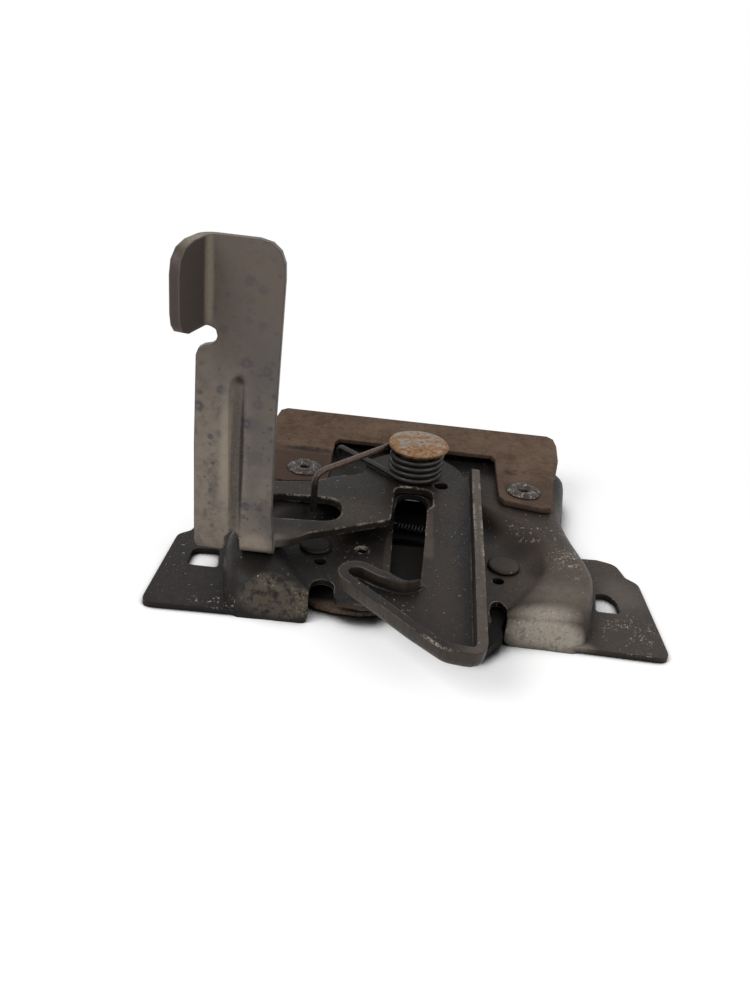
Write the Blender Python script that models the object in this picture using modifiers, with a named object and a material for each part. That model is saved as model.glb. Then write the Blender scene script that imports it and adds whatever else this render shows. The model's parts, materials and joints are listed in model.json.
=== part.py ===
"""Bonnet latch: a pressed plate with a secondary catch lever on top and a fork and pawl beneath.

All dimensions are in millimetres. X is to the right, Y towards the bracket, Z up. The plan origin
of the dimensions is the middle of the ears' front edge; DATUM_Y moves it to the middle of the part.
"""
import math

import bmesh
import bpy
from mathutils import Matrix, Vector

MM = 0.001
GAP = 0.3  # air between pieces that rest on each other
FIT = 0.2  # radial air of a rivet or pin in its hole

# Pressed plate
PLATE_T = 1.8
EAR_TOP = PLATE_T
PAN_TOP = 7.2
RIDGE_TOP = 12.2
SLOT_HALF = 5.5
SLOT_END_Y = 62.5
EAR_HALF = 72.8
ARCH_ROOM = 2.5  # the hollow goes on this far past the flanges' inner ends
FLANGE_END_X = 26.9
FLANGE_CORNER_R = 2.6
PLATE_FOLDS = (2.4, 4.0, 4.6)  # pan to slope, slope to ridge, ridge to wall
HOLLOW_FOLDS = (3.0, 2.4, 2.8)
GAUGE_HOLE = (-14.2, 32.0, 1.8)
SMALL_HOLE = (26.0, 23.0, 1.8)

# Rear bracket
BRACKET_T = 1.8
BRACKET_FOOT_TOP = RIDGE_TOP + GAP + BRACKET_T
BRACKET_SLOPE = math.radians(20)
EYELET = (36.4, 68.3)
BRACKET_FLAT = 13.7  # of the legs behind the rivets, up to where the sheet kinks
BRACKET_RISE = 7.1  # from there to the bar's front edge
BAR_DEPTH = 11.9
BRACKET_KINK_Y = EYELET[1] + BRACKET_FLAT
BRACKET_BACK_Y = BRACKET_KINK_Y + BRACKET_RISE + BAR_DEPTH
EYELET_BORE = 1.5
EYELET_SHANK = 3.3
EYELET_HEAD = 5.8

# Secondary catch lever
LEVER_T = 2.5
LEVER_FRONT_Y = -27.8
LEVER_UNDER = RIDGE_TOP + GAP
LEVER_TOP = LEVER_UNDER + LEVER_T
LEVER_BEND = 2.9
FLANGE_TOP = LEVER_UNDER + 6.0
PIVOT = (0.0, 70.5)
BOSS_R = 16.6
TAB_Y = 13.9  # front face of the upright handle
TAB_TOP = 99.4
TAB_FOLD = 0.55  # radius of the finger flange's fold, as a share of LEVER_BEND
GROOVE_X = (-49.6, -49.8)  # middle of the handle's groove at its lower and upper end
GROOVE_R = 2.5
GROOVE_OUT = 1.1  # how far the groove's round tool stays out of the sheet

# Pivot stud and lever spring
STUD_SHANK = 5.2
STUD_HEAD = 10.4
WIRE_R = 1.0
COIL_R = 8.0
COIL_PITCH = 2.08

# Parts under the pan
FORK_R = 40.0
PAWL_HUB = 9.5
PAWL_ROOM = 6.7  # between the fork's rim and the pawl's hub
PIN = ((FORK_R + PAWL_ROOM + PAWL_HUB) / 2, 31.0)
PIN_SHANK = 3.2
PIN_HEAD = 4.85
BACK_UNDER = 0.7
BACK_T = 1.2
CATCH_UNDER = BACK_UNDER + BACK_T + GAP
CATCH_T = 2.0
HOOK_HOLE_R = 1.1
SMALL_WIRE_R = 0.4
SMALL_COIL_R = 1.1

# Middle of the overall depth, with the overhang of the sloped bar's lower edge
DATUM_Y = (LEVER_FRONT_Y + BRACKET_BACK_Y + BRACKET_T * math.sin(BRACKET_SLOPE)) / 2


def polar(centre, radius, degrees):
    """Plan point at a distance and an angle from a centre."""
    angle = math.radians(degrees)
    return (centre[0] + radius * math.cos(angle), centre[1] + radius * math.sin(angle))


def around(centre, points):
    """Plan points from their distances and angles about one centre."""
    return [polar(centre, radius, degrees) for radius, degrees in points]


PAWL_PIN = (-PIN[0], PIN[1])
FORK_TAIL = polar(PIN, 21.5, 98.5)
PAWL_TAIL = polar(PAWL_PIN, 26.0, 76.0)


def clear_scene():
    for item in list(bpy.data.objects):
        bpy.data.objects.remove(item, do_unlink=True)


def collection(name):
    found = bpy.data.collections.new(name)
    bpy.context.scene.collection.children.link(found)
    return found


def material(name, colour, metallic, roughness):
    made = bpy.data.materials.new(name)
    made.use_nodes = True
    shader = made.node_tree.nodes["Principled BSDF"]
    shader.inputs["Base Color"].default_value = (*colour, 1.0)
    shader.inputs["Metallic"].default_value = metallic
    shader.inputs["Roughness"].default_value = roughness
    return made


def place(point):
    """Plan point or space point in millimetres, from the ears' front edge, to metres from the datum."""
    x, y = point[0], point[1]
    z = point[2] if len(point) > 2 else 0.0
    return Vector((x * MM, (y - DATUM_Y) * MM, z * MM))


def rounded(corners, steps=4):
    """Closed outline whose corners (x, y, radius) are replaced by short arcs."""
    outline = []
    count = len(corners)
    for i, (x, y, radius) in enumerate(corners):
        here = Vector((x, y))
        if radius <= 0:
            outline.append((x, y))
            continue
        before = (Vector(corners[i - 1][:2]) - here)
        after = (Vector(corners[(i + 1) % count][:2]) - here)
        half = before.angle(after) / 2
        reach = min(radius / math.tan(half), before.length * 0.49, after.length * 0.49)
        start = here + before.normalized() * reach
        end = here + after.normalized() * reach
        for k in range(steps + 1):
            t = k / steps
            outline.append(tuple(start * (1 - t) ** 2 + here * 2 * t * (1 - t) + end * t ** 2))
    return outline


def smooth_line(points, steps=3):
    """Points of a smooth curve through the given space points, which it keeps."""
    points = [Vector(point) for point in points]
    last = len(points) - 1
    ways = [(points[min(i + 1, last)] - points[max(i - 1, 0)]).normalized() for i in range(last + 1)]
    line = []
    for i in range(last):
        length = (points[i + 1] - points[i]).length
        for k in range(steps):
            t = k / steps
            share = 3 * t ** 2 - 2 * t ** 3
            leave = ways[i] * length * (t ** 3 - 2 * t ** 2 + t)
            arrive = ways[i + 1] * length * (t ** 3 - t ** 2)
            line.append(points[i] * (1 - share) + leave + points[i + 1] * share + arrive)
    line.append(points[last])
    return line


def circle(centre, radius, count=28):
    return [(centre[0] + radius * math.cos(math.tau * i / count),
             centre[1] + radius * math.sin(math.tau * i / count)) for i in range(count)]


def add_object(name, mesh, home, paint=None, pivot=None):
    """Object for a mesh given in the part's frame, with its origin moved onto the pivot."""
    made = bpy.data.objects.new(name, mesh)
    home.objects.link(made)
    if paint is not None:
        mesh.materials.clear()
        mesh.materials.append(paint)
    if pivot is not None:
        origin = place(pivot)
        mesh.transform(Matrix.Translation(-origin))
        made.location = origin
    return made


def bmesh_to_mesh(name, bm):
    bmesh.ops.recalc_face_normals(bm, faces=bm.faces)
    mesh = bpy.data.meshes.new(name)
    bm.to_mesh(mesh)
    bm.free()
    return mesh


def flat_solid(name, outlines, z_low, z_high):
    """Solid plate from a filled 2D curve: the first outline is the edge, the others are holes."""
    curve = bpy.data.curves.new(name + "_outline", "CURVE")
    curve.dimensions = "2D"
    curve.fill_mode = "BOTH"
    curve.extrude = (z_high - z_low) / 2 * MM
    for outline in outlines:
        spline = curve.splines.new("POLY")
        spline.points.add(len(outline) - 1)
        for point, (x, y) in zip(spline.points, outline):
            point.co = (x * MM, (y - DATUM_Y) * MM, 0.0, 1.0)
        spline.use_cyclic_u = True
    holder = bpy.data.objects.new(name + "_outline", curve)
    bpy.context.scene.collection.objects.link(holder)
    bpy.context.view_layer.update()
    mesh = bpy.data.meshes.new_from_object(holder)
    bpy.data.objects.remove(holder)
    bm = bmesh.new()
    bm.from_mesh(mesh)
    bmesh.ops.remove_doubles(bm, verts=bm.verts, dist=1e-6)
    bmesh.ops.translate(bm, verts=bm.verts, vec=(0, 0, (z_low + z_high) / 2 * MM))
    bpy.data.meshes.remove(mesh)
    return bmesh_to_mesh(name, bm)


def wire_mesh(name, points, radius, resolution=2, sizes=None):
    """Round wire along a chain of space points, with closed ends; sizes scale its radius point by point."""
    curve = bpy.data.curves.new(name + "_path", "CURVE")
    curve.dimensions = "3D"
    curve.bevel_depth = radius * MM
    curve.bevel_resolution = resolution
    curve.use_fill_caps = True
    spline = curve.splines.new("POLY")
    spline.points.add(len(points) - 1)
    for point, where in zip(spline.points, points):
        point.co = (*place(where), 1.0)
    for point, size in zip(spline.points, sizes or []):
        point.radius = size
    holder = bpy.data.objects.new(name + "_path", curve)
    bpy.context.scene.collection.objects.link(holder)
    bpy.context.view_layer.update()
    mesh = bpy.data.meshes.new_from_object(holder)
    bpy.data.objects.remove(holder)
    bm = bmesh.new()
    bm.from_mesh(mesh)
    bmesh.ops.remove_doubles(bm, verts=bm.verts, dist=1e-6)
    bpy.data.meshes.remove(mesh)
    return bmesh_to_mesh(name, bm)


def turned(name, profile, centre, home, paint, steps=32):
    """Turned piece: the profile (radius, height) runs down its outer side from top to bottom."""
    bm = bmesh.new()
    verts = [bm.verts.new((radius * MM, 0.0, height * MM)) for radius, height in profile]
    for a, b in zip(verts, verts[1:]):
        bm.edges.new((a, b))
    if profile[0][0] > 0:
        bm.edges.new((verts[-1], verts[0]))
    mesh = bpy.data.meshes.new(name)
    bm.to_mesh(mesh)
    bm.free()
    made = bpy.data.objects.new(name, mesh)
    home.objects.link(made)
    mesh.materials.append(paint)
    made.location = place(centre)
    screw = made.modifiers.new("turn", "SCREW")
    screw.steps = steps
    screw.render_steps = steps
    screw.use_merge_vertices = True
    screw.merge_threshold = 1e-6
    return made


def cut(target, cutter, operation="DIFFERENCE"):
    boolean = target.modifiers.new(cutter.name, "BOOLEAN")
    boolean.operation = operation
    boolean.solver = "EXACT"
    boolean.object = cutter


def cutter_from(name, outline, z_low, z_high):
    made = add_object(name, flat_solid(name, [outline], z_low, z_high), CUTTERS)
    made.hide_render = True
    made.display_type = "WIRE"
    return made


def sheet(target, thickness):
    """Gives an open surface the thickness of the sheet on its inner side."""
    solid = target.modifiers.new("sheet", "SOLIDIFY")
    solid.thickness = thickness * MM
    solid.offset = -1.0
    solid.use_even_offset = True


def sheet_modifiers(target, thickness, bend, angle_limit, segments=3):
    """Rounds the folds of an open surface, then makes a sheet of it."""
    fold = target.modifiers.new("folds", "BEVEL")
    fold.width = bend * MM
    fold.segments = segments
    fold.limit_method = "ANGLE"
    fold.angle_limit = math.radians(angle_limit)
    fold.use_clamp_overlap = True
    sheet(target, thickness)


def both_sides(line):
    """The right half of a line and its mirror image, from the right notch round the back to the left one."""
    return list(line) + [Vector((-point.x, point.y, point.z)) for point in reversed(line[:-1])]


def sunk(lines, depth):
    """The four fold lines of the pressing moved to the underside of the sheet."""
    count = len(lines[0])
    moved = [[] for _ in lines]
    for i in range(count):
        chain = [line[i] for line in lines]
        normals = []
        for j in range(3):
            ahead = lines[j + 1][min(i + 1, count - 1)] - lines[j + 1][max(i - 1, 0)]
            normals.append((chain[j + 1] - chain[j]).cross(ahead).normalized())
        normals = [Vector((0, 0, 1))] + normals
        for j in range(4):
            here = normals[j]
            after = normals[min(j + 1, 3)]
            moved[j].append(chain[j] - (here + after) * depth / (1 + here.dot(after)))
    return moved


def pressing(name, lines, front, floor, folds):
    """Closed block under the pressed surface, with its three folds rounded, down to a flat floor."""
    rows = None
    for i in range(len(lines[0])):
        pan, inner, outer, foot = (line[i] for line in lines)
        inward = Vector((pan.x - inner.x, pan.y - inner.y, 0)).normalized()
        ground = foot + (foot - outer) * ((foot.z - floor) / (outer.z - foot.z))
        chain = [pan + inward * 6, pan, inner, outer, ground]
        profile = []
        for j in range(1, 4):
            before = chain[j - 1] - chain[j]
            after = chain[j + 1] - chain[j]
            reach = min(folds[j - 1], before.length * 0.45, after.length * 0.45)
            start = chain[j] + before.normalized() * reach
            end = chain[j] + after.normalized() * reach
            for t in (0, 1 / 3, 2 / 3, 1):
                profile.append(start * (1 - t) ** 2 + chain[j] * 2 * t * (1 - t) + end * t ** 2)
        profile.append(ground)
        rows = rows or [[] for _ in profile]
        for row, point in zip(rows, profile):
            row.append(point)
    bm = bmesh.new()
    grid = [[bm.verts.new(place(point)) for point in row] for row in rows]
    for low, high in zip(grid, grid[1:]):
        for i in range(len(low) - 1):
            bm.faces.new((low[i], high[i], high[i + 1], low[i + 1]))
    level = rows[0][0].z
    rim = [bm.verts.new(place((x, y, level))) for x, y in front]
    base = [bm.verts.new(place((x, y, floor))) for x, y in front]
    corner_right = bm.verts.new(place((rows[0][0].x, rows[0][0].y, floor)))
    corner_left = bm.verts.new(place((rows[0][-1].x, rows[0][-1].y, floor)))
    bm.faces.new(rim + grid[0])
    bm.faces.new(base + [corner_right] + grid[-1] + [corner_left])
    top = [grid[0][-1]] + rim + [grid[0][0]]
    bottom = [corner_left] + base + [corner_right]
    for i in range(len(top) - 1):
        bm.faces.new((top[i], top[i + 1], bottom[i + 1], bottom[i]))
    bm.faces.new([row[0] for row in grid] + [corner_right])
    bm.faces.new([row[-1] for row in grid] + [corner_left])
    return bmesh_to_mesh(name, bm)


def base_plate():
    """Pressed plate: pan, raised ridge round it, rear platform, two ears and the side walls."""
    pan_line = [(27.5, 8.5, PAN_TOP), (31.0, 15.0, PAN_TOP), (34.3, 21.0, PAN_TOP), (37.0, 26.0, PAN_TOP),
                (38.4, 31.5, PAN_TOP), (37.3, 37.0, PAN_TOP), (33.8, 43.0, PAN_TOP), (28.8, 48.0, PAN_TOP),
                (23.0, 53.0, PAN_TOP), (16.5, 56.3, PAN_TOP), (11.0, 57.3, PAN_TOP), (7.0, 57.5, PAN_TOP),
                (3.5, 57.5, PAN_TOP), (0.0, 57.5, PAN_TOP)]
    inner_top = [(27.4, 6.2, 7.8), (33.0, 12.0, 9.6), (37.8, 18.5, 11.4), (41.0, 24.5, RIDGE_TOP),
                 (42.2, 31.0, RIDGE_TOP), (40.8, 38.0, RIDGE_TOP), (36.8, 45.0, RIDGE_TOP),
                 (31.5, 50.8, RIDGE_TOP), (25.2, 56.6, RIDGE_TOP), (17.8, 60.6, RIDGE_TOP),
                 (11.5, 61.6, RIDGE_TOP), (7.0, 61.8, RIDGE_TOP), (3.5, 61.8, RIDGE_TOP),
                 (0.0, 61.8, RIDGE_TOP)]
    outer_top = [(27.2, 3.4, 7.4), (38.0, 5.4, 9.8), (47.3, 8.6, 11.8), (51.5, 15.8, RIDGE_TOP),
                 (53.4, 24.5, RIDGE_TOP), (52.3, 32.0, RIDGE_TOP), (50.0, 40.0, RIDGE_TOP),
                 (47.9, 50.0, RIDGE_TOP), (48.3, 62.0, RIDGE_TOP), (50.0, 71.0, RIDGE_TOP),
                 (51.8, 80.5, RIDGE_TOP), (52.4, 90.0, RIDGE_TOP), (46.0, 96.8, RIDGE_TOP),
                 (0.0, 97.0, RIDGE_TOP)]
    foot = [(26.9, 2.0, 0.0), (38.2, 1.8, 0.0), (49.4, 2.8, 0.0), (52.6, 13.0, 0.0),
            (54.5, 23.5, 0.0), (55.6, 31.5, 0.0), (56.8, 40.0, 0.0), (55.0, 50.0, 0.0),
            (50.2, 62.3, 0.0), (51.8, 71.0, 0.0), (53.6, 80.5, 0.0), (54.2, 91.2, 0.0), (46.8, 98.6, 0.0),
            (0.0, 99.0, 0.0)]
    lines = [both_sides(smooth_line(line)) for line in (pan_line, inner_top, outer_top, foot)]
    left_arch = around((-24.0, 10.6), [(3.3, degrees) for degrees in (164, 138, 112, 86, 60, 34, 8)])
    left_lip = [(-20.6, 8.0), (-20.4, 6.0), (-19.7, 4.7), (-18.0, 4.0), (-14.0, 3.4)]
    right_arch = [(22.4, 6.0), (22.6, 8.4), (23.1, 10.6), (24.0, 12.1), (25.2, 12.6), (26.4, 11.9),
                  (27.0, 10.6)]
    right_lip = [(14.0, 3.4), (18.0, 2.4), (21.0, 1.6), (22.3, 1.9), (22.9, 3.0)]
    front = left_arch + left_lip + right_lip + right_arch
    made = add_object("base_plate", pressing("base_plate", lines, front, 0.0, PLATE_FOLDS), PART, PAINT)
    for side, word in ((-1, "left"), (1, "right")):
        ear = [(EAR_HALF, 1.6, 3.0), (EAR_HALF - 1.4, 38.5, 4.0), (68.0, 41.5, 2.0), (66.2, 48.8, 4.5),
               (60.5, 50.6, 3.0), (52.0, 50.0, 0), (47.0, 20.0, 0), (45.5, 2.4, 0)]
        ear = rounded([(side * x, y, radius) for x, y, radius in ear])
        cut(made, cutter_from("ear_" + word, ear, 0.0, EAR_TOP), "UNION")
    under = sunk(lines, PLATE_T)
    for line in under:
        line.insert(0, line[0] - Vector((ARCH_ROOM, 0, 0)))
        line.append(line[-1] + Vector((ARCH_ROOM, 0, 0)))
    room_front = [(-21.2, -8.0), (21.2, -8.0)]
    cut(made, hidden(pressing("room_below", under, room_front, -4.0, HOLLOW_FOLDS)))
    slot = rounded([(-SLOT_HALF, -6.0, 0), (SLOT_HALF, -6.0, 0), (SLOT_HALF, SLOT_END_Y, 4.5),
                    (-SLOT_HALF, SLOT_END_Y, 4.5)])
    cut(made, cutter_from("cut_slot", slot, -3, 20))
    cut(made, cutter_from("cut_stud", circle(PIVOT, STUD_SHANK + FIT), -3, 20))
    for side, word in ((-1, "left"), (1, "right")):
        eyelet = circle((side * EYELET[0], EYELET[1]), EYELET_SHANK + FIT)
        cut(made, cutter_from("cut_eyelet_" + word, eyelet, 5, 20))
        cut(made, cutter_from("cut_pin_" + word, circle((side * PIN[0], PIN[1]), PIN_SHANK + FIT), 3, 20))
        x, y, radius = SMALL_HOLE
        cut(made, cutter_from("cut_small_" + word, circle((side * x, y), radius, 20), 3, 20))
        middle = (FLANGE_END_X + FLANGE_CORNER_R, FLANGE_CORNER_R)
        arc = around(middle, [(FLANGE_CORNER_R, degrees) for degrees in range(180, 271, 18)])
        corner = [(25.0, -1.0), (25.0, FLANGE_CORNER_R)] + arc + [(middle[0], -1.0)]
        corner = [(side * x, z) for x, z in corner]
        cut(made, hidden(side_block("flange_corner_" + word, corner, -1.0, 6.0)))
    left_hole = rounded([(-65.2, 22.3, 2.0), (-64.8, 31.4, 2.5), (-57.0, 32.2, 1.5), (-55.6, 22.2, 1.5)])
    right_hole = rounded([(62.8, 21.0, 1.5), (62.6, 27.8, 3.0), (60.2, 30.8, 2.5), (56.8, 30.6, 1.5),
                          (55.4, 21.0, 1.0)])
    cut(made, cutter_from("cut_ear_left", left_hole, -3, 6))
    cut(made, cutter_from("cut_ear_right", right_hole, -3, 6))
    cut(made, cutter_from("cut_gauge", circle(GAUGE_HOLE[:2], GAUGE_HOLE[2], 20), 3, 20))
    return made


def rear_bracket():
    """Bar across the back that slopes up, with two legs lying on the platform."""
    leg = [(-8.0, BRACKET_FLAT), (-8.3, 1.7), (-8.2, -4.8), (-6.8, -7.5), (-3.4, -8.3), (2.1, -9.5),
           (5.6, -10.2), (7.9, -9.5), (9.1, -7.7), (9.5, -4.9), (10.2, 2.7),
           (11.5, BRACKET_FLAT - 3.0), (12.4, BRACKET_FLAT)]
    leg = [(EYELET[0] + x, EYELET[1] + y) for x, y in leg]
    inner = BRACKET_BACK_Y - BAR_DEPTH
    bar = [(50.2, inner + 0.4), (50.0, BRACKET_BACK_Y - 4.5), (49.0, BRACKET_BACK_Y - 1.2),
           (46.8, BRACKET_BACK_Y), (0.0, BRACKET_BACK_Y), (0.0, inner - 0.2), (26.6, inner - 0.2),
           (28.1, inner - 1.7)]
    bm = bmesh.new()

    def vert(x, y):
        rise = max(0.0, y - BRACKET_KINK_Y) * math.tan(BRACKET_SLOPE)
        return bm.verts.new(place((x, y, BRACKET_FOOT_TOP + rise)))

    leg_verts = [vert(x, y) for x, y in leg]
    bar_verts = [vert(x, y) for x, y in bar]
    bm.faces.new(leg_verts)
    bm.faces.new([leg_verts[0], leg_verts[-1]] + bar_verts)
    bmesh.ops.recalc_face_normals(bm, faces=bm.faces)
    if bm.faces[:][0].normal.z < 0:
        bmesh.ops.reverse_faces(bm, faces=bm.faces)
    mesh = bpy.data.meshes.new("rear_bracket")
    bm.to_mesh(mesh)
    bm.free()
    made = add_object("rear_bracket", mesh, PART, RUST)
    mirror = made.modifiers.new("other_half", "MIRROR")
    mirror.use_axis = (True, False, False)
    mirror.merge_threshold = 1e-5
    sheet_modifiers(made, BRACKET_T, 2.0, 10)
    for side, word in ((-1, "left"), (1, "right")):
        hole = circle((side * EYELET[0], EYELET[1]), EYELET_SHANK + FIT)
        cut(made, cutter_from("cut_leg_" + word, hole, 10, 20))
    return made


def eyelets():
    low = RIDGE_TOP - PLATE_T - GAP
    high = BRACKET_FOOT_TOP + GAP
    profile = [(EYELET_BORE, high + 0.4), (2.8, high + 1.1), (4.2, high + 1.2),
               (EYELET_HEAD - 0.5, high + 0.7), (EYELET_HEAD, high), (EYELET_SHANK, high),
               (EYELET_SHANK, low), (5.0, low),
               (4.8, low - 0.7), (EYELET_BORE, low - 0.9)]
    for side, word in ((-1, "left"), (1, "right")):
        turned("bracket_rivet_" + word, profile, (side * EYELET[0], EYELET[1]), PART, RIVET)


def prism(name, outline, z_low, z_high, rounded_edges=0, lean=0.0):
    """Upright block on an outline; its first low edges are marked for rounding, its top may lean out."""
    bm = bmesh.new()
    low = [bm.verts.new(place((x, y, z_low))) for x, y in outline]
    high = []
    count = len(outline)
    for i, (x, y) in enumerate(outline):
        along = (Vector(outline[(i + 1) % count]) - Vector(outline[i - 1])).normalized()
        high.append(bm.verts.new(place((x - along.y * lean, y + along.x * lean, z_high))))
    bm.faces.new(low)
    bm.faces.new(high)
    weight = bm.edges.layers.float.new("bevel_weight_edge")
    for i in range(count):
        bm.faces.new((low[i], low[(i + 1) % count], high[(i + 1) % count], high[i]))
        if i < rounded_edges:
            bm.edges.get((low[i], low[(i + 1) % count]))[weight] = 1.0
    return bmesh_to_mesh(name, bm)


def round_marked(target, radius, segments=3):
    fold = target.modifiers.new("folds", "BEVEL")
    fold.width = radius * MM
    fold.segments = segments
    fold.limit_method = "WEIGHT"
    fold.use_clamp_overlap = False


def inset(line, distance):
    """A line of plan points moved to its right by a distance."""
    moved = []
    last = len(line) - 1
    for i, (x, y) in enumerate(line):
        before = (Vector(line[i]) - Vector(line[max(i - 1, 0)])) if i else Vector(line[1]) - Vector(line[0])
        after = (Vector(line[min(i + 1, last)]) - Vector(line[i])) if i < last else before
        a = Vector((before.y, -before.x)).normalized()
        b = Vector((after.y, -after.x)).normalized()
        shift = (a + b) * distance / (1 + a.dot(b))
        moved.append((x + shift.x, y + shift.y))
    return moved


def lever():
    """Secondary catch: flat plate with a turned-up rim, and an upright handle bent out of the wing."""
    tip = [(*polar((-14.6, 2.4), 4.6, degrees), 0) for degrees in range(224, 56, -16)]
    rim_line = [(20.9, 72.6, 0), (20.3, 52.0, 0), (19.4, 17.0, 0), (18.6, -8.0, 0),
                (18.0, LEVER_FRONT_Y, 7.5), (8.0, -26.4, 7.0), (-0.8, -18.4, 0)] + tip
    rim_line += [(-8.3, 3.6, 4.0), (-1.5, 0.8, 5.0), (2.8, 6.6, 0)]
    throat = [(3.0, 9.0, 0), (4.0, 30.0, 0), (4.6, 47.5, 1.0), (6.4, 50.5, 1.0), (6.5, 61.6, 4.5),
              (-6.3, 61.6, 4.5), (-6.7, 50.0, 0), (-7.0, 38.8, 2.2)]
    wing = [(-14.5, 34.6, 0), (-22.4, 30.0, 0), (-30.0, 26.0, 3.0), (-34.8, 20.8, 2.0), (-38.8, 19.6, 0),
            (-48.4, 19.6, 0), (-51.0, 24.0, 0), (-53.0, 40.0, 6.0), (-52.5, 53.2, 4.0), (-38.0, 56.6, 0),
            (-31.8, 58.2, 2.0), (-26.0, 62.9, 2.0), (-19.6, 65.8, 2.0)]
    boss = [(*polar(PIVOT, BOSS_R, degrees), 0) for degrees in range(188, 4, -9)]
    whole = rounded(rim_line + throat + wing + boss, 4)
    rim_count = whole.index((2.8, 6.6)) + 1
    block = prism("safety_lever", whole, LEVER_UNDER, FLANGE_TOP, rim_count - 1, 0.6)
    made = add_object("safety_lever", block, PART, LEVER_PAINT, PIVOT)
    round_marked(made, LEVER_BEND)
    inside = inset(whole[:rim_count], LEVER_T)
    inside = [(20.9 - LEVER_T, 96.0)] + inside + [(1.4, 7.5), (-14.0, 20.0), (-60.0, 8.0), (-62.0, 96.0)]
    cut(made, hidden(prism("tray_inside", inside, LEVER_TOP, FLANGE_TOP + 6, 0, 1.2)))
    cut(made, hidden(wedge("rim_taper", (-5.5, 2.8), (3.4, 7.2), 4.0, FLANGE_TOP, LEVER_TOP)))
    cut(made, hidden(wedge("rim_end", (2.6, 6.6), (8.0, 9.6), 3.0, LEVER_TOP, LEVER_TOP)))
    cut(made, handle(), "UNION")
    heights = [(34.0, 0.9), (50.0, 1.0), (61.0, 1.0), (62.8, 0.9), (64.0, 0.74), (64.8, 0.5)]
    for word, first, y, operation in (("groove_back", (20.4, 0.82), TAB_Y + LEVER_T - GROOVE_OUT, "UNION"),
                                      ("groove_front", (18.0, 0.8), TAB_Y - GROOVE_OUT, "DIFFERENCE")):
        steps = [first] + heights
        way = [(GROOVE_X[0] + (GROOVE_X[1] - GROOVE_X[0]) * (z - 18.0) / 46.8, y, z) for z, size in steps]
        cut(made, hidden(wire_mesh(word, way, GROOVE_R, 3, [size for z, size in steps])), operation)
    cut(made, cutter_from("cut_boss", circle(PIVOT, STUD_SHANK + FIT), 8, 20))
    slot = rounded([(-46.0, 31.6, 6.0), (-21.8, 33.6, 6.5), (-21.8, 48.6, 6.5), (-46.0, 47.0, 6.0)], 6)
    cut(made, cutter_from("cut_wing_slot", slot, 8, 20))
    cut(made, cutter_from("cut_lever_hole", circle((8.8, 64.6), 2.5, 20), 8, 20))
    return made


def hidden(mesh):
    """A cutter made from a mesh, kept out of renders."""
    made = add_object(mesh.name, mesh, CUTTERS)
    made.hide_render = True
    made.display_type = "WIRE"
    return made


def wedge(name, start, end, half_width, z_start, z_end):
    """Block whose sloped underside runs from one height to another along a plan line."""
    along = (Vector(end) - Vector(start)).normalized()
    across = Vector((-along.y, along.x)) * half_width
    bm = bmesh.new()
    low, high = [], []
    for point, z in ((start, z_start), (end, z_end)):
        for sign in (-1, 1):
            where = Vector(point) + across * sign
            low.append(bm.verts.new(place((where.x, where.y, z))))
            high.append(bm.verts.new(place((where.x, where.y, FLANGE_TOP + 5))))
    order = (0, 1, 3, 2)
    bm.faces.new([low[i] for i in order])
    bm.faces.new([high[i] for i in order])
    for i, j in zip(order, order[1:] + order[:1]):
        bm.faces.new((low[i], low[j], high[j], high[i]))
    return bmesh_to_mesh(name, bm)


def side_block(name, outline, y_low, y_high):
    """Block on an upright outline (x, z), between two values of y."""
    bm = bmesh.new()
    near = [bm.verts.new(place((x, y_low, z))) for x, z in outline]
    far = [bm.verts.new(place((x, y_high, z))) for x, z in outline]
    bm.faces.new(near)
    bm.faces.new(far)
    for i in range(len(near)):
        bm.faces.new((near[i - 1], near[i], far[i], far[i - 1]))
    return bmesh_to_mesh(name, bm)


def handle():
    """Upright of the lever with its forward finger flange, on a tongue that lies in the wing."""
    fold_top = (-57.3, TAB_TOP)
    fold_low = (-57.4, 77.7)
    outline = [(-39.0, 20.0), (-39.7, 25.0), (-39.7, 54.9), (-39.0, 90.0), (-39.2, 94.0), (-40.3, 96.8),
               (-42.4, 98.6), (-45.5, 99.3), fold_top, fold_low, (-55.5, 76.4), (-55.1, 74.8), (-55.6, 73.2),
               (-56.7, 72.4), (-58.6, 71.9), (-59.9, 71.1), (-60.5, 69.4), (-60.9, 45.0), (-60.8, 15.2),
               (-60.0, 13.6), (-53.2, 13.5), (-52.4, 14.3), (-52.3, 17.4), (-51.3, 18.8), (-50.0, 19.1),
               (-48.8, 18.4), (-48.3, 16.9)]
    lip = [(4.0, 77.9), (1.6, 78.8), (0.1, 80.7), (-0.4, 83.4), (-0.4, 92.5), (0.3, 95.8), (2.6, 98.1),
           (6.6, 99.2)]
    bm = bmesh.new()
    upright = [bm.verts.new(place((x, TAB_Y, z))) for x, z in outline]
    foot = [bm.verts.new(place((x, TAB_Y, LEVER_UNDER))) for x in (-48.0, -38.8)]
    tongue = [bm.verts.new(place((x, 27.0, LEVER_UNDER))) for x in (-38.8, -48.0)]
    first, last = outline.index(fold_top), outline.index(fold_low)
    bm.faces.new(upright + foot)
    bm.faces.new(foot[::-1] + tongue[::-1])
    flange = [bm.verts.new(place((fold_top[0] - 0.264 * (TAB_Y - y), y, z))) for y, z in lip]
    bm.faces.new([upright[first], upright[last]] + flange)
    bmesh.ops.recalc_face_normals(bm, faces=bm.faces)
    bm.faces.ensure_lookup_table()
    if bm.faces[0].normal.y > 0:
        bmesh.ops.reverse_faces(bm, faces=bm.faces)
    weight = bm.edges.layers.float.new("bevel_weight_edge")
    bm.edges.get(foot)[weight] = 1.0
    bm.edges.get((upright[first], upright[last]))[weight] = TAB_FOLD
    mesh = bpy.data.meshes.new("handle")
    bm.to_mesh(mesh)
    bm.free()
    made = hidden(mesh)
    round_marked(made, LEVER_BEND, 4)
    sheet(made, LEVER_T)
    return made


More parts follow.
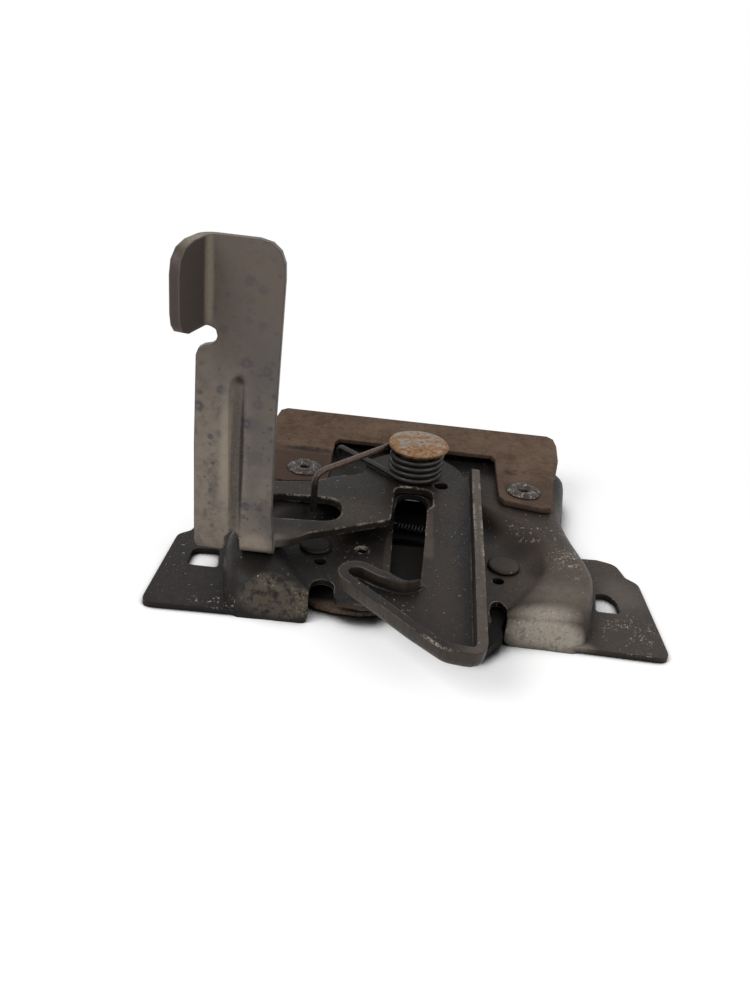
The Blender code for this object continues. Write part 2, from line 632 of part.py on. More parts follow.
def stud():
    low = RIDGE_TOP - PLATE_T - GAP
    head = LEVER_TOP + GAP + 2 * WIRE_R + 3.77 * COIL_PITCH + GAP
    profile = [(0.0, head + 1.9), (8.6, head + 1.8), (9.8, head + 1.4), (STUD_HEAD, head + 0.7), (10.1, head),
               (STUD_SHANK, head), (STUD_SHANK, low), (7.0, low), (6.6, low - 1.0), (0.0, low - 1.3)]
    turned("pivot_stud", profile, PIVOT, PART, HEAD, 40)


def lever_spring():
    """Torsion spring: lower leg to the bracket, close coils round the stud, upper leg into the wing slot."""
    z_low = LEVER_TOP + GAP + WIRE_R
    start, end = 227.4, 144.0 + 4 * 360
    count = 76
    coil = []
    for i in range(count + 1):
        degrees = start + (end - start) * i / count
        x, y = polar(PIVOT, COIL_R, degrees)
        coil.append((x, y, z_low + COIL_PITCH * (degrees - start) / 360))
    z_high = coil[-1][2]
    lower = [(-26.4, 84.2, z_low - 2.6), (-26.4, 84.2, z_low - 0.8), (-25.7, 83.5, z_low),
             (-12.0, 71.2, z_low)]
    upper = [(-28.6, 48.6, z_high), (-30.3, 46.3, z_high - 0.5), (-30.9, 45.5, z_high - 2.0),
             (-30.9, 45.5, LEVER_UNDER - 1.2)]
    mesh = wire_mesh("lever_spring", lower + coil + upper, WIRE_R, 2)
    return add_object("lever_spring", mesh, PART, WIRE, PIVOT)


def catch_fork():
    """Primary catch: a fork that turns about the right pin, drawn in its open position."""
    mouth = math.radians(225.0)
    half = 6.5
    inner = FORK_R - 13.0
    axis = Vector((math.cos(mouth), math.sin(mouth)))
    side = Vector((-axis.y, axis.x))

    def at(along, across):
        return tuple(Vector(PIN) + axis * along + side * across)

    rear_prong = around(PIN, [(FORK_R, degrees) for degrees in range(166, 210, 7)] + [(FORK_R - 0.6, 213)])
    rear_prong += [at(FORK_R - 3.5, -half - 0.4), at(inner + half, -half)]
    hollow = []
    for k in range(1, 8):
        angle = math.pi * k / 8
        hollow.append(at(inner + half - half * math.sin(angle), -half * math.cos(angle)))
    front_prong = [at(inner + half, half), at(FORK_R - 2.6, half + 0.4)]
    front_prong += around(PIN, [(FORK_R - 0.2, 238.5), (FORK_R, 244), (FORK_R, 250), (FORK_R, 256),
                                (FORK_R - 0.5, 259.4), (FORK_R - 3.5, 261.4), (FORK_R - 6.4, 263.8),
                                (FORK_R - 7.0, 266.0), (FORK_R - 9.5, 266.6), (FORK_R - 13.4, 266.0),
                                (FORK_R - 18.0, 268.4)])
    hub = around(PIN, [(16.0, 275), (12.0, 292), (10.5, 320), (10.5, 350), (10.5, 20), (10.5, 50),
                       (11.5, 76)])
    tail = around(PIN, [(18.0, 90), (23.4, 92), (24.2, 98), (23.6, 105), (19.0, 110), (16.0, 122),
                        (18.0, 140), (FORK_R - 13.0, 156), (FORK_R - 4.0, 162)])
    outline = rear_prong + hollow + front_prong + hub + tail
    holes = [circle(PIN, PIN_SHANK + FIT), circle(FORK_TAIL, HOOK_HOLE_R, 14)]
    mesh = flat_solid("catch_fork", [outline] + holes, CATCH_UNDER, CATCH_UNDER + CATCH_T)
    return add_object("catch_fork", mesh, PART, STEEL, PIN)


def pawl():
    """Pawl: its nose stands just outside the fork's rim and drops behind the rear prong to hold it."""
    nose = polar(PIN, FORK_R + 0.5, 146.5)
    front = around(PAWL_PIN, [(PAWL_HUB, 300), (PAWL_HUB, 330), (PAWL_HUB + 1.0, 0), (16.0, 22)])
    head = [(nose[0] - 6.5, nose[1] - 7.5)]
    head += around(PIN, [(FORK_R + 0.6, 150.5), (FORK_R + 0.5, 147.5), (FORK_R + 1.1, 143.8),
                         (FORK_R + 4.0, 142.6)])
    head += [(nose[0] - 1.6, nose[1] + 6.2), (nose[0] - 7.0, nose[1] + 4.0)]
    tail = around(PAWL_PIN, [(23.0, 58), (26.0, 66), (29.6, 71), (29.4, 80), (24.0, 84)])
    cable_arm = around(PAWL_PIN, [(15.0, 92), (13.0, 120), (17.0, 138), (17.5, 152), (12.0, 166)])
    hub = around(PAWL_PIN, [(PAWL_HUB, 190), (PAWL_HUB, 225), (PAWL_HUB, 262)])
    holes = [circle(PAWL_PIN, PIN_SHANK + FIT), circle(PAWL_TAIL, HOOK_HOLE_R, 14),
             circle(polar(PAWL_PIN, 14.6, 146.0), 1.8, 14)]
    outline = front + head + tail + cable_arm + hub
    mesh = flat_solid("pawl", [outline] + holes, CATCH_UNDER, CATCH_UNDER + CATCH_T)
    return add_object("pawl", mesh, PART, STEEL, PAWL_PIN)


def catch_spring():
    """Tension spring that joins the fork's tail to the pawl's tail, its ends bent down into their holes."""
    right = Vector(FORK_TAIL)
    left = Vector(PAWL_TAIL)
    mid = (left + right) / 2
    span = (right - left).normalized()
    across = Vector((-span.y, span.x))
    wire = SMALL_WIRE_R
    coil = SMALL_COIL_R
    turns = 11
    length = 12.0
    z_top = CATCH_UNDER + CATCH_T + 0.2 + wire
    reach = (right - left).length / 2

    def at(along, side, height):
        where = mid + span * along + across * side
        return (where.x, where.y, height)

    path = [at(-reach, 0, CATCH_UNDER + 0.2), at(-reach, 0, z_top - 0.4), at(-reach + 0.4, 0, z_top),
            at(-length / 2 - 0.8, 0, z_top)]
    count = turns * 10
    for i in range(count + 1):
        angle = math.tau * turns * i / count
        height = z_top - coil + coil * math.cos(angle)
        path.append(at(-length / 2 + length * i / count, coil * math.sin(angle), height))
    path += [at(length / 2 + 0.8, 0, z_top), at(reach - 0.4, 0, z_top), at(reach, 0, z_top - 0.4),
             at(reach, 0, CATCH_UNDER + 0.2)]
    mesh = wire_mesh("catch_spring", path, wire, 1)
    return add_object("catch_spring", mesh, PART, WIRE)


def pins():
    head = PAN_TOP + GAP
    low = BACK_UNDER - 0.2
    profile = [(0.0, head + 0.95), (PIN_HEAD - 0.5, head + 0.9), (PIN_HEAD, head + 0.5), (PIN_HEAD, head),
               (PIN_SHANK, head), (PIN_SHANK, low), (PIN_SHANK + 1.4, low), (PIN_SHANK + 1.2, low - 0.3),
               (0.0, low - 0.35)]
    turned("catch_pin", profile, PIN, PART, PAINT_HEAD, 28)
    turned("pawl_pin", profile, PAWL_PIN, PART, PAINT_HEAD, 28)


def back_plate():
    """Plate that closes the latch from below, with a notch for the striker and the two pin holes."""
    right = [(7.0, 50.5, 5.0), (7.0, 17.0, 2.0), (8.0, 8.4, 2.0), (13.0, 7.1, 2.0), (20.0, 7.3, 2.0),
             (25.6, 8.6, 2.0), (30.0, 13.0, 3.0), (42.0, 16.0, 4.0), (46.0, 30.0, 4.0), (44.0, 48.0, 4.0),
             (40.0, 70.0, 6.0),
             (34.0, 77.0, 6.0)]
    left = [(-x, y, radius) for x, y, radius in reversed(right)]
    holes = [circle(centre, PIN_SHANK + FIT) for centre in (PIN, PAWL_PIN)]
    mesh = flat_solid("back_plate", [rounded(right + left, 3)] + holes, BACK_UNDER, BACK_UNDER + BACK_T)
    return add_object("back_plate", mesh, PART, STEEL)


clear_scene()
PART = collection("bonnet_latch")
CUTTERS = collection("cutters")
PAINT = material("black_paint", (0.03, 0.028, 0.026), 0.3, 0.5)
PAINT_HEAD = material("painted_rivet", (0.05, 0.047, 0.044), 0.4, 0.5)
LEVER_PAINT = material("worn_dark_steel", (0.06, 0.055, 0.05), 0.6, 0.45)
RUST = material("rusty_steel", (0.09, 0.05, 0.03), 0.2, 0.8)
RIVET = material("bright_rivet", (0.25, 0.23, 0.21), 0.7, 0.5)
HEAD = material("rusty_head", (0.3, 0.16, 0.08), 0.3, 0.7)
WIRE = material("spring_wire", (0.04, 0.035, 0.032), 0.7, 0.4)
STEEL = material("plated_steel", (0.3, 0.29, 0.26), 0.9, 0.35)

base_plate()
rear_bracket()
eyelets()
lever()
stud()
lever_spring()
catch_fork()
pawl()
catch_spring()
pins()
back_plate()
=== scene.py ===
"""Looks of a used bonnet latch: worn paint, bare and rusty steel, on the fixed frame of its solids."""
import json
import math

import bpy
import numpy as np
from mathutils import Matrix, Vector


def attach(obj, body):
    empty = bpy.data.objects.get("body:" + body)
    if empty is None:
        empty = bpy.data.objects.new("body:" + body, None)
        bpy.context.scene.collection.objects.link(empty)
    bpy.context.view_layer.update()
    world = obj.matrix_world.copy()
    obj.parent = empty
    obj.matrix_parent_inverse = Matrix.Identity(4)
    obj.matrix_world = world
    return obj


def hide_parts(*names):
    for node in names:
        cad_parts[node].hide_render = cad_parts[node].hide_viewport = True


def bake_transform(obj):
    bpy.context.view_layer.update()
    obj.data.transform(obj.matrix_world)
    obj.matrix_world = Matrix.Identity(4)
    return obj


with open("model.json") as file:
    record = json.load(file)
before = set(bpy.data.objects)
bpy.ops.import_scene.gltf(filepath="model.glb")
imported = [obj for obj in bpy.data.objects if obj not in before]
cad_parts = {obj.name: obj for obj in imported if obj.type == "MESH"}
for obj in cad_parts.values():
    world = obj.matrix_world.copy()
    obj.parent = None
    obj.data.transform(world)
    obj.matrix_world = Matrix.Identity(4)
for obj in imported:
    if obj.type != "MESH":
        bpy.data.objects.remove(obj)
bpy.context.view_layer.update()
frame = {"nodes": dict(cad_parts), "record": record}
nodes = frame["nodes"]
BODIES = frame["record"]["behaviour"]["bodies"]
BODY_OF = {node: body for body, names in BODIES.items() for node in names}

MM = 0.001

# Camera of the photograph, in millimetres and degrees
CAMERA_PLACE = (-12.1, -235.6, 147.2)
CAMERA_DOWN = 28.0
CAMERA_ROLL = 6.3
FOCAL_PIXELS = 900.0
LONG_SIDE_PIXELS = 1000.0
SENSOR_WIDTH = 36.0

# Light: lamps in watts, their side in millimetres, the world's and the floor's strength, and how far
# from the object the floor goes over to plain white, in metres
WINDOW_WATTS = 4.4
FILL_WATTS = 1.8
LAMP_SIDE = 500
SKY_STRENGTH = 0.33
FLOOR_GLOW = 0.4
FADE_FROM = 0.09
FADE_TO = 0.19

# Places on the object that new pieces repeat from its source, in millimetres from its origin
DATUM_Y = 36.908
PIVOT = (0.0, 70.5 - DATUM_Y)
PIN = (28.1, 31.0 - DATUM_Y)
EYELET = (36.4, 68.3 - DATUM_Y)
FORK_TAIL = (24.922, 52.264 - DATUM_Y)
PAWL_TAIL = (-21.81, 56.228 - DATUM_Y)

# Heights, thicknesses and the coil that they repeat, in millimetres, and the coil's ends in degrees
SHEET_T = 1.8
LEVER_T = 2.5
GAP = 0.3
PLATFORM = 12.2
PAN = 7.2
BACK_UNDER = 0.7
WIRE_R = 1.0
COIL_R = 8.0
COIL_TURNS = 3.77
COIL_PITCH = 2.08
COIL_FROM = 227.4
COIL_TO = 144.0 + 4 * 360

# What each kind of node takes, in the order it is given, which output it gives, and its settings
MIX = ("ShaderNodeMix", (0, 6, 7), 2, {"data_type": "RGBA"})
SOFT_STEP = ("ShaderNodeMapRange", ("Value", "From Min", "From Max", "To Min", "To Max"), "Result",
             {"interpolation_type": "SMOOTHSTEP"})
TIMES = ("ShaderNodeMath", (0, 1), 0, {"operation": "MULTIPLY", "use_clamp": True})
LARGER = ("ShaderNodeMath", (0, 1), 0, {"operation": "MAXIMUM", "use_clamp": True})
MINUS = ("ShaderNodeMath", (0, 1), 0, {"operation": "SUBTRACT", "use_clamp": True})
NOISE = ("ShaderNodeTexNoise", ("Vector", "Scale", "Detail", "Roughness", "Distortion"), "Fac", {})
DROPS = ("ShaderNodeTexVoronoi", ("Vector", "Scale"), "Distance", {})
DROP_KINDS = ("ShaderNodeTexVoronoi", ("Vector", "Scale"), "Color", {})
STRETCH = ("ShaderNodeMapping", ("Vector", "Scale"), 0, {})
APART = ("ShaderNodeVectorMath", (0, 1), 0, {"operation": "SUBTRACT"})
SCALED = ("ShaderNodeVectorMath", (0, 1), 0, {"operation": "MULTIPLY"})
LENGTH = ("ShaderNodeVectorMath", (0,), "Value", {"operation": "LENGTH"})
LEAN = ("ShaderNodeVectorMath", (0, 1), "Value", {"operation": "DOT_PRODUCT"})
PART = {"X": ("ShaderNodeSeparateXYZ", (0,), "X", {}), "Y": ("ShaderNodeSeparateXYZ", (0,), "Y", {}),
        "Z": ("ShaderNodeSeparateXYZ", (0,), "Z", {})}
RED = ("ShaderNodeSeparateColor", (0,), 0, {})
ROUNDED = ("ShaderNodeBevel", ("Radius",), 0, {"samples": 6})
FACE = ("ShaderNodeNewGeometry", (), "Normal", {})
OPENNESS = ("ShaderNodeAmbientOcclusion", ("Distance",), "AO", {"samples": 8})
RELIEF = ("ShaderNodeBump", ("Height", "Strength", "Distance", "Normal"), 0, {})
OBJECT_PLACE = ("ShaderNodeTexCoord", (), "Object", {})
SEEN_BY = {"camera": ("ShaderNodeLightPath", (), "Is Camera Ray", {}),
           "gloss": ("ShaderNodeLightPath", (), "Is Glossy Ray", {}),
           "glass": ("ShaderNodeLightPath", (), "Is Transmission Ray", {})}
GLOW = ("ShaderNodeEmission", ("Color", "Strength"), 0, {})
ONE_OR_OTHER = ("ShaderNodeMixShader", (0, 1, 2), 0, {})
ON_TOP = ("ShaderNodeAddShader", (0, 1), 0, {})


def linear(colour):
    """Linear RGBA of an sRGB hex colour such as "8a6b4f"."""
    parts = np.array([int(colour[i:i + 2], 16) for i in (0, 2, 4)]) / 255
    spread = np.where(parts <= 0.04045, parts / 12.92, ((parts + 0.055) / 1.055) ** 2.4)
    return (*spread.tolist(), 1.0)


def add(tree, kind, *inputs):
    """Adds a node of a kind with its settings, sets or links its inputs, and gives its output."""
    name, keys, output, settings = kind
    made = tree.nodes.new(name)
    for key, value in settings.items():
        setattr(made, key, value)
    for key, value in zip(keys, inputs):
        if isinstance(value, bpy.types.NodeSocket):
            tree.links.new(value, made.inputs[key])
        else:
            made.inputs[key].default_value = linear(value) if isinstance(value, str) else value
    return made.outputs[output]


def per(size_mm):
    """Scale of a pattern whose lumps are so many millimetres across."""
    return 1 / (size_mm * MM)


def both(tree, first, *others):
    """Product of masks: 1 where all of them are."""
    for other in others:
        first = add(tree, TIMES, first, other)
    return first


def either(tree, first, *others):
    """Largest of masks: 1 where any of them is."""
    for other in others:
        first = add(tree, LARGER, first, other)
    return first


def outside(tree, mask):
    """1 where the mask is 0."""
    return add(tree, MINUS, 1.0, mask)


def patch(tree, where, centre_mm, reach_mm, soft):
    """1 inside an ellipsoid at a place on the object, falling to 0 over the soft share at its edge."""
    from_centre = add(tree, APART, where, [c * MM for c in centre_mm])
    share = add(tree, LENGTH, add(tree, SCALED, from_centre, [1 / (r * MM) for r in reach_mm]))
    return add(tree, SOFT_STEP, share, 1.0, 1.0 - soft)


def beyond(tree, where, axis, low_mm, high_mm):
    """0 below one value of X, Y or Z, 1 above another, in millimetres; turned round if low is the larger."""
    return add(tree, SOFT_STEP, add(tree, PART[axis], where), low_mm * MM, high_mm * MM)


def edges(tree, radius_mm, low=0.02, high=0.2):
    """1 along sharp edges: how far the rounded normal leans away from the face's own."""
    lean = add(tree, LEAN, add(tree, ROUNDED, radius_mm * MM), add(tree, FACE))
    return add(tree, SOFT_STEP, lean, 1.0 - low, 1.0 - high)


def corners(tree, reach_mm, low=0.55, high=0.95):
    """1 in inner corners and under other pieces, where shade falls and grime gathers, 0 in the open."""
    return add(tree, SOFT_STEP, add(tree, OPENNESS, reach_mm * MM), high, low)


def upward(tree, low=0.4, high=0.95):
    """1 on faces that look up, where dust lies."""
    return add(tree, SOFT_STEP, add(tree, PART["Z"], add(tree, FACE)), low, high)


def chips(tree, where, size_mm, share):
    """Irregular chips about size_mm across, in loose clusters; a larger share gives more of them."""
    small = add(tree, NOISE, where, per(size_mm), 2.0, 0.6, 0.7)
    cluster = add(tree, NOISE, where, per(size_mm * 5.5), 2.0, 0.5)
    shape = add(tree, SOFT_STEP, small, 0.72 - 0.3 * share, 0.75 - 0.3 * share)
    return both(tree, shape, add(tree, SOFT_STEP, cluster, 0.42, 0.56))


def start_material(name):
    """Empty material with its tree, its Principled shader and the object's own coordinates."""
    made = bpy.data.materials.new(name)
    made.use_nodes = True
    tree = made.node_tree
    shader = tree.nodes["Principled BSDF"]
    return made, tree, shader, add(tree, OBJECT_PLACE)


def finish(tree, shader, colour, roughness, height, strength, depth_mm, round_mm):
    """Links the colour and roughness, and a bump over normals that round the edges off."""
    tree.links.new(colour, shader.inputs["Base Color"])
    tree.links.new(roughness, shader.inputs["Roughness"])
    relief = add(tree, RELIEF, height, strength, depth_mm * MM, add(tree, ROUNDED, round_mm * MM))
    tree.links.new(relief, shader.inputs["Normal"])


# Satin black paint on pressed steel: nearly black in the pan, lighter brown-grey on the right, rubbed
# to bare metal on both front folds, pin-head chips where the bonnet scrapes, and painted shade in corners,
# in the valley by the right ridge and under the bracket's bar, with a painted sheen above the right fold
def worn_black_paint():
    made, tree, shader, where = start_material("worn_black_paint")
    broad = add(tree, NOISE, where, per(11), 4.0)
    mid = add(tree, NOISE, where, per(2.2), 5.0, 0.68, 0.4)
    fine = add(tree, NOISE, where, per(0.7), 3.0, 0.7)
    streak = add(tree, NOISE, add(tree, STRETCH, where, (1.0, 0.25, 1.0)), per(2.5), 4.0)
    colour = add(tree, MIX, add(tree, SOFT_STEP, broad, 0.35, 0.68), "171413", "221d1a")
    right = both(tree, beyond(tree, where, "X", 8, 24), add(tree, SOFT_STEP, mid, 0.2, 0.7, 0.75, 1.0))
    colour = add(tree, MIX, right, colour, "393029")
    ridge = both(tree, patch(tree, where, (46, -14, 11), (22, 24, 8), 0.7),
                 add(tree, SOFT_STEP, mid, 0.2, 0.65, 0.6, 1.0))
    colour = add(tree, MIX, ridge, colour, "544a42")
    left_ear = both(tree, beyond(tree, where, "X", -48, -54),
                    add(tree, SOFT_STEP, streak, 0.3, 0.7, 0.35, 1.0))
    colour = add(tree, MIX, left_ear, colour, "241e1c")
    right_ear = both(tree, beyond(tree, where, "X", 52, 57), add(tree, SOFT_STEP, mid, 0.2, 0.65, 0.6, 1.0))
    colour = add(tree, MIX, right_ear, colour, "423a34")
    back_ear = both(tree, patch(tree, where, (64, -6, 2), (12, 14, 6), 0.9),
                    add(tree, SOFT_STEP, broad, 0.2, 0.6, 0.3, 0.9))
    colour = add(tree, MIX, back_ear, colour, "5f5852")
    colour = worn_folds(tree, where, colour, broad, mid, fine)
    # Painted shade in the valley between the pan and the right ridge, mottled by the broad noise
    valley_shade = either(tree, patch(tree, where, (24, 13, 9), (6, 9, 6), 0.8),
                    patch(tree, where, (32, 3, 9), (6, 9, 6), 0.8),
                    patch(tree, where, (37.5, -7, 9), (4, 8, 5), 0.8))
    colour = add(tree, MIX, both(tree, valley_shade, add(tree, SOFT_STEP, broad, 0.2, 0.6, 0.7, 1.0)), colour,
                 "1d1917")
    throat_edge = both(tree, patch(tree, where, (-6.5, -9, 7.2), (1.5, 19, 2), 0.3),
                       add(tree, SOFT_STEP, mid, 0.2, 0.6, 0.4, 1.0))
    colour = add(tree, MIX, throat_edge, colour, "383029")
    lip = both(tree, patch(tree, where, (0, -34.5, 4), (27, 4.5, 6), 0.3),
               add(tree, SOFT_STEP, fine, 0.3, 0.6, 0.3, 0.9))
    colour = add(tree, MIX, lip, colour, "463d35")
    # Painted shadow on the platform under the bracket's bar; the wall beside the right leg takes the same
    # dark colour
    shade_under_bar = both(tree, beyond(tree, where, "Y", 38, 47), beyond(tree, where, "Z", 9, 11))
    beside_leg = patch(tree, where, (51.5, 37, 9), (4.5, 21, 9), 0.4)
    colour = add(tree, MIX, either(tree, shade_under_bar, beside_leg), colour, "191615")
    # Painted shade, with grime, in inner corners and under other pieces
    shade_and_grime = both(tree, corners(tree, 5), add(tree, SOFT_STEP, broad, 0.2, 0.7, 0.6, 1.0))
    colour = add(tree, MIX, shade_and_grime, colour, "151312")
    ring = both(tree, patch(tree, where, (-14.2, -4.9, 7.2), (2.7, 2.7, 1.5), 0.2),
                add(tree, SOFT_STEP, mid, 0.46, 0.56))
    arch = both(tree, patch(tree, where, (-24, -25, 6), (6.5, 6, 6), 0.1), edges(tree, 0.6))
    right_arch = both(tree, patch(tree, where, (25, -26, 6), (5.5, 7, 6), 0.1), edges(tree, 0.6))
    colour = add(tree, MIX, either(tree, ring, both(tree, arch, add(tree, SOFT_STEP, mid, 0.3, 0.6))),
                 colour, "8f877c")
    colour = add(tree, MIX, right_arch, colour, "9d948a")
    marks = paint_chips(tree, where)
    colour = add(tree, MIX, both(tree, marks, outside(tree, corners(tree, 3))), colour, "b9b3a9")
    finish(tree, shader, colour, add(tree, SOFT_STEP, fine, 0.3, 0.7, 0.42, 0.62), fine, 0.3, 0.12, 0.5)
    shader.inputs["Specular IOR Level"].default_value = 0.18
    return made


def worn_folds(tree, where, colour, broad, mid, fine):
    """Paint rubbed brown on the left front fold, off to bare metal on the right one, and a painted sheen
    above it.
    """
    rub = either(tree, patch(tree, where, (-35, -33.5, 6.3), (14, 6.5, 7), 0.4),
                 patch(tree, where, (-37.5, -33, 9.5), (7.5, 7, 6), 0.4))
    colour = add(tree, MIX, both(tree, rub, add(tree, SOFT_STEP, mid, 0.38, 0.55)), colour, "4b433b")
    colour = add(tree, MIX, both(tree, rub, add(tree, SOFT_STEP, fine, 0.5, 0.6),
                                 add(tree, SOFT_STEP, broad, 0.4, 0.55)),
                 colour, "726859")
    bare = either(tree, patch(tree, where, (39.0, -34.5, 3.5), (15.5, 5.5, 9.5), 0.5),
                  patch(tree, where, (38.0, -31, 9.5), (14, 5, 4.5), 0.9))
    colour = add(tree, MIX, both(tree, bare, add(tree, SOFT_STEP, mid, 0.3, 0.55, 0.6, 1.0)), colour,
                 "9c9387")
    colour = add(tree, MIX, both(tree, bare, add(tree, SOFT_STEP, fine, 0.56, 0.66),
                                 add(tree, SOFT_STEP, broad, 0.4, 0.6)),
                 colour, "b2aaa0")
    colour = add(tree, MIX, both(tree, bare, add(tree, SOFT_STEP, mid, 0.52, 0.66, 0.0, 0.6)), colour,
                 "5b534a")
    # Painted sheen: a lighter grey above the bare right fold
    sheen = patch(tree, where, (42, -24, 12), (15, 9, 5), 0.9)
    colour = add(tree, MIX, both(tree, sheen, add(tree, SOFT_STEP, mid, 0.2, 0.7, 0.3, 0.7)), colour,
                 "776f66")
    return colour


def paint_chips(tree, where):
    """1 on chips down to metal: dense on scraped places, few on faces that look up, some along edges."""
    scraped = either(tree, patch(tree, where, (39, 10, 12), (15, 8, 5), 0.9),
                     patch(tree, where, (47, -6, 12), (9, 14, 6), 0.9),
                     patch(tree, where, (64, -26, 2), (13, 12, 5), 0.9),
                     patch(tree, where, (-52, -32, 2), (12, 5, 5), 0.9))
    rim_chips = both(tree, edges(tree, 0.5),
                     add(tree, SOFT_STEP, add(tree, NOISE, where, per(6), 4.0, 0.7), 0.56, 0.6))
    return either(tree, both(tree, scraped, chips(tree, where, 0.9, 0.42)),
                   both(tree, upward(tree), chips(tree, where, 0.7, 0.1)),
                   both(tree, rim_chips, beyond(tree, where, "X", -30, 0)))


# Phosphated steel of the lever: near black and greasy in the tray, rubbed bare and warm grey on the
# handle, where drops of water left bluish rings
def worn_lever_steel():
    made, tree, shader, where = start_material("worn_lever_steel")
    broad = add(tree, NOISE, where, per(12), 4.0)
    mid = add(tree, NOISE, where, per(2.6), 5.0, 0.66, 0.4)
    fine = add(tree, NOISE, where, per(0.7), 3.0, 0.7)
    colour = greasy_tray(tree, where, broad, mid, fine)
    bare = rubbed_handle(tree, where, broad, mid, fine)
    handle = both(tree, beyond(tree, where, "Y", -12.5, -15.5), beyond(tree, where, "X", -34, -38.5))
    colour = add(tree, MIX, handle, colour, bare)
    finish(tree, shader, colour, add(tree, SOFT_STEP, fine, 0.3, 0.7, 0.4, 0.6), fine, 0.3, 0.1, 0.8)
    shader.inputs["Metallic"].default_value = 0.15
    shader.inputs["Specular IOR Level"].default_value = 0.2
    return made


def greasy_tray(tree, where, broad, mid, fine):
    """Colour of the lever's flat part and rim: greasy black, browner where handled, edges worn with painted
    glints, and painted shade beside the rim, by the hook's tip and in corners.
    """
    lines = add(tree, NOISE, add(tree, STRETCH, where, (1.0, 0.12, 0.12)), per(0.8), 3.0)
    plate = add(tree, MIX, add(tree, SOFT_STEP, broad, 0.3, 0.7), "1d1917", "27211d")
    centre = either(tree, patch(tree, where, (9.5, -34, 15), (7, 42, 6), 0.9),
                    patch(tree, where, (8, 14, 15), (12, 14, 6), 0.9))
    plate = add(tree, MIX, both(tree, centre, add(tree, SOFT_STEP, fine, 0.2, 0.7, 0.5, 0.95)), plate,
                "312924")
    rubbed = either(tree, patch(tree, where, (-22, 4, 15), (22, 12, 5), 0.8),
                    patch(tree, where, (-36, -13, 14), (12, 5, 4), 0.8))
    plate = add(tree, MIX, both(tree, rubbed, add(tree, SOFT_STEP, mid, 0.25, 0.65, 0.45, 1.0)), plate,
                "413830")
    sides = outside(tree, upward(tree, 0.2, 0.8))
    front = both(tree, sides, beyond(tree, where, "Y", -28, -34))
    plate = add(tree, MIX, both(tree, front, add(tree, SOFT_STEP, lines, 0.3, 0.6, 0.5, 1.0)), plate,
                "3c342d")
    rim_top = both(tree, beyond(tree, where, "Z", 17.6, 18.3), beyond(tree, where, "Z", 22, 20),
                   upward(tree, 0.4, 0.9),
                   beyond(tree, where, "X", 8, 17))
    plate = add(tree, MIX, both(tree, rim_top, add(tree, SOFT_STEP, mid, 0.2, 0.6, 0.5, 1.0)), plate,
                "544a42")
    coined = both(tree, beyond(tree, where, "X", 6.6, 5.8), beyond(tree, where, "X", 3.0, 3.6),
                  beyond(tree, where, "Y", -20, -16),
                  beyond(tree, where, "Y", 16, 10), add(tree, SOFT_STEP, mid, 0.2, 0.6, 0.4, 1.0))
    plate = add(tree, MIX, coined, plate, "463b33")
    # Painted shade beside the right rim and by the hook's tip
    shade_beside_rim = patch(tree, where, (16.0, -16, 15), (4.4, 44, 2.4), 0.8)
    shade_by_tip = patch(tree, where, (-8, -34, 15), (12, 9, 2.4), 0.6)
    colour = add(tree, MIX, either(tree, shade_beside_rim, shade_by_tip), plate, "161312")
    # Painted shade, with grime, in inner corners and under other pieces
    shade_and_grime = both(tree, corners(tree, 4.5, 0.5, 0.95), add(tree, SOFT_STEP, broad, 0.1, 0.6, 0.7, 1.0))
    colour = add(tree, MIX, shade_and_grime, colour, "171413")
    worn = both(tree, edges(tree, 0.8, 0.02, 0.12),
                add(tree, SOFT_STEP, add(tree, NOISE, where, per(7), 4.0, 0.7), 0.46, 0.58))
    colour = add(tree, MIX, both(tree, worn, add(tree, SOFT_STEP, fine, 0.2, 0.6, 0.3, 0.8)), colour,
                 "6f665d")
    scraped = either(tree, patch(tree, where, (-13, 0, 15), (10, 5, 3), 0.8),
                     patch(tree, where, (-22, 12, 15), (20, 3, 3), 0.8),
                     patch(tree, where, (-4, 24, 15), (9, 5, 4), 0.8),
                     patch(tree, where, (20, 0, 18.5), (2.5, 36, 2), 0.3),
                     patch(tree, where, (6, -62, 18), (7, 5, 3), 0.8),
                     patch(tree, where, (6.2, 0, 15), (1.6, 30, 2), 0.5))
    # Pale flecks along the wing's and throat's edges: worn chips and painted glints
    chipped_and_glinting_edge = both(tree, patch(tree, where, (-16, 8, 15), (36, 26, 4), 0.3),
                       edges(tree, 1.0, 0.01, 0.07),
                       add(tree, SOFT_STEP, add(tree, NOISE, where, per(3), 5.0, 0.75), 0.5, 0.56))
    colour = add(tree, MIX, both(tree, chipped_and_glinting_edge, add(tree, SOFT_STEP, fine, 0.35, 0.5, 0.2, 0.9)), colour,
                 "a0978b")
    marks = either(tree, both(tree, scraped, edges(tree, 1.6, 0.01, 0.08), chips(tree, where, 0.9, 0.9)),
                   both(tree, upward(tree), chips(tree, where, 0.7, 0.12)))
    return add(tree, MIX, marks, colour, "b0a89d")


def water_rings(tree, where):
    """1 on rings of dried drops, in three sizes in mm, each with its share of drops and its radius."""
    rings = []
    for size, share, thin in ((5.2, 0.55, 0.36), (3.1, 0.4, 0.32), (1.7, 0.3, 0.3)):
        gap = add(tree, DROPS, where, per(size))
        mark = both(tree, add(tree, SOFT_STEP, gap, thin, thin - 0.16),
                    add(tree, SOFT_STEP, gap, 0.02, 0.14, 0.35, 1.0))
        some = add(tree, SOFT_STEP, add(tree, RED, add(tree, DROP_KINDS, where, per(size))), 1 - share,
                   1.04 - share)
        rings.append(both(tree, mark, some))
    return either(tree, *rings)


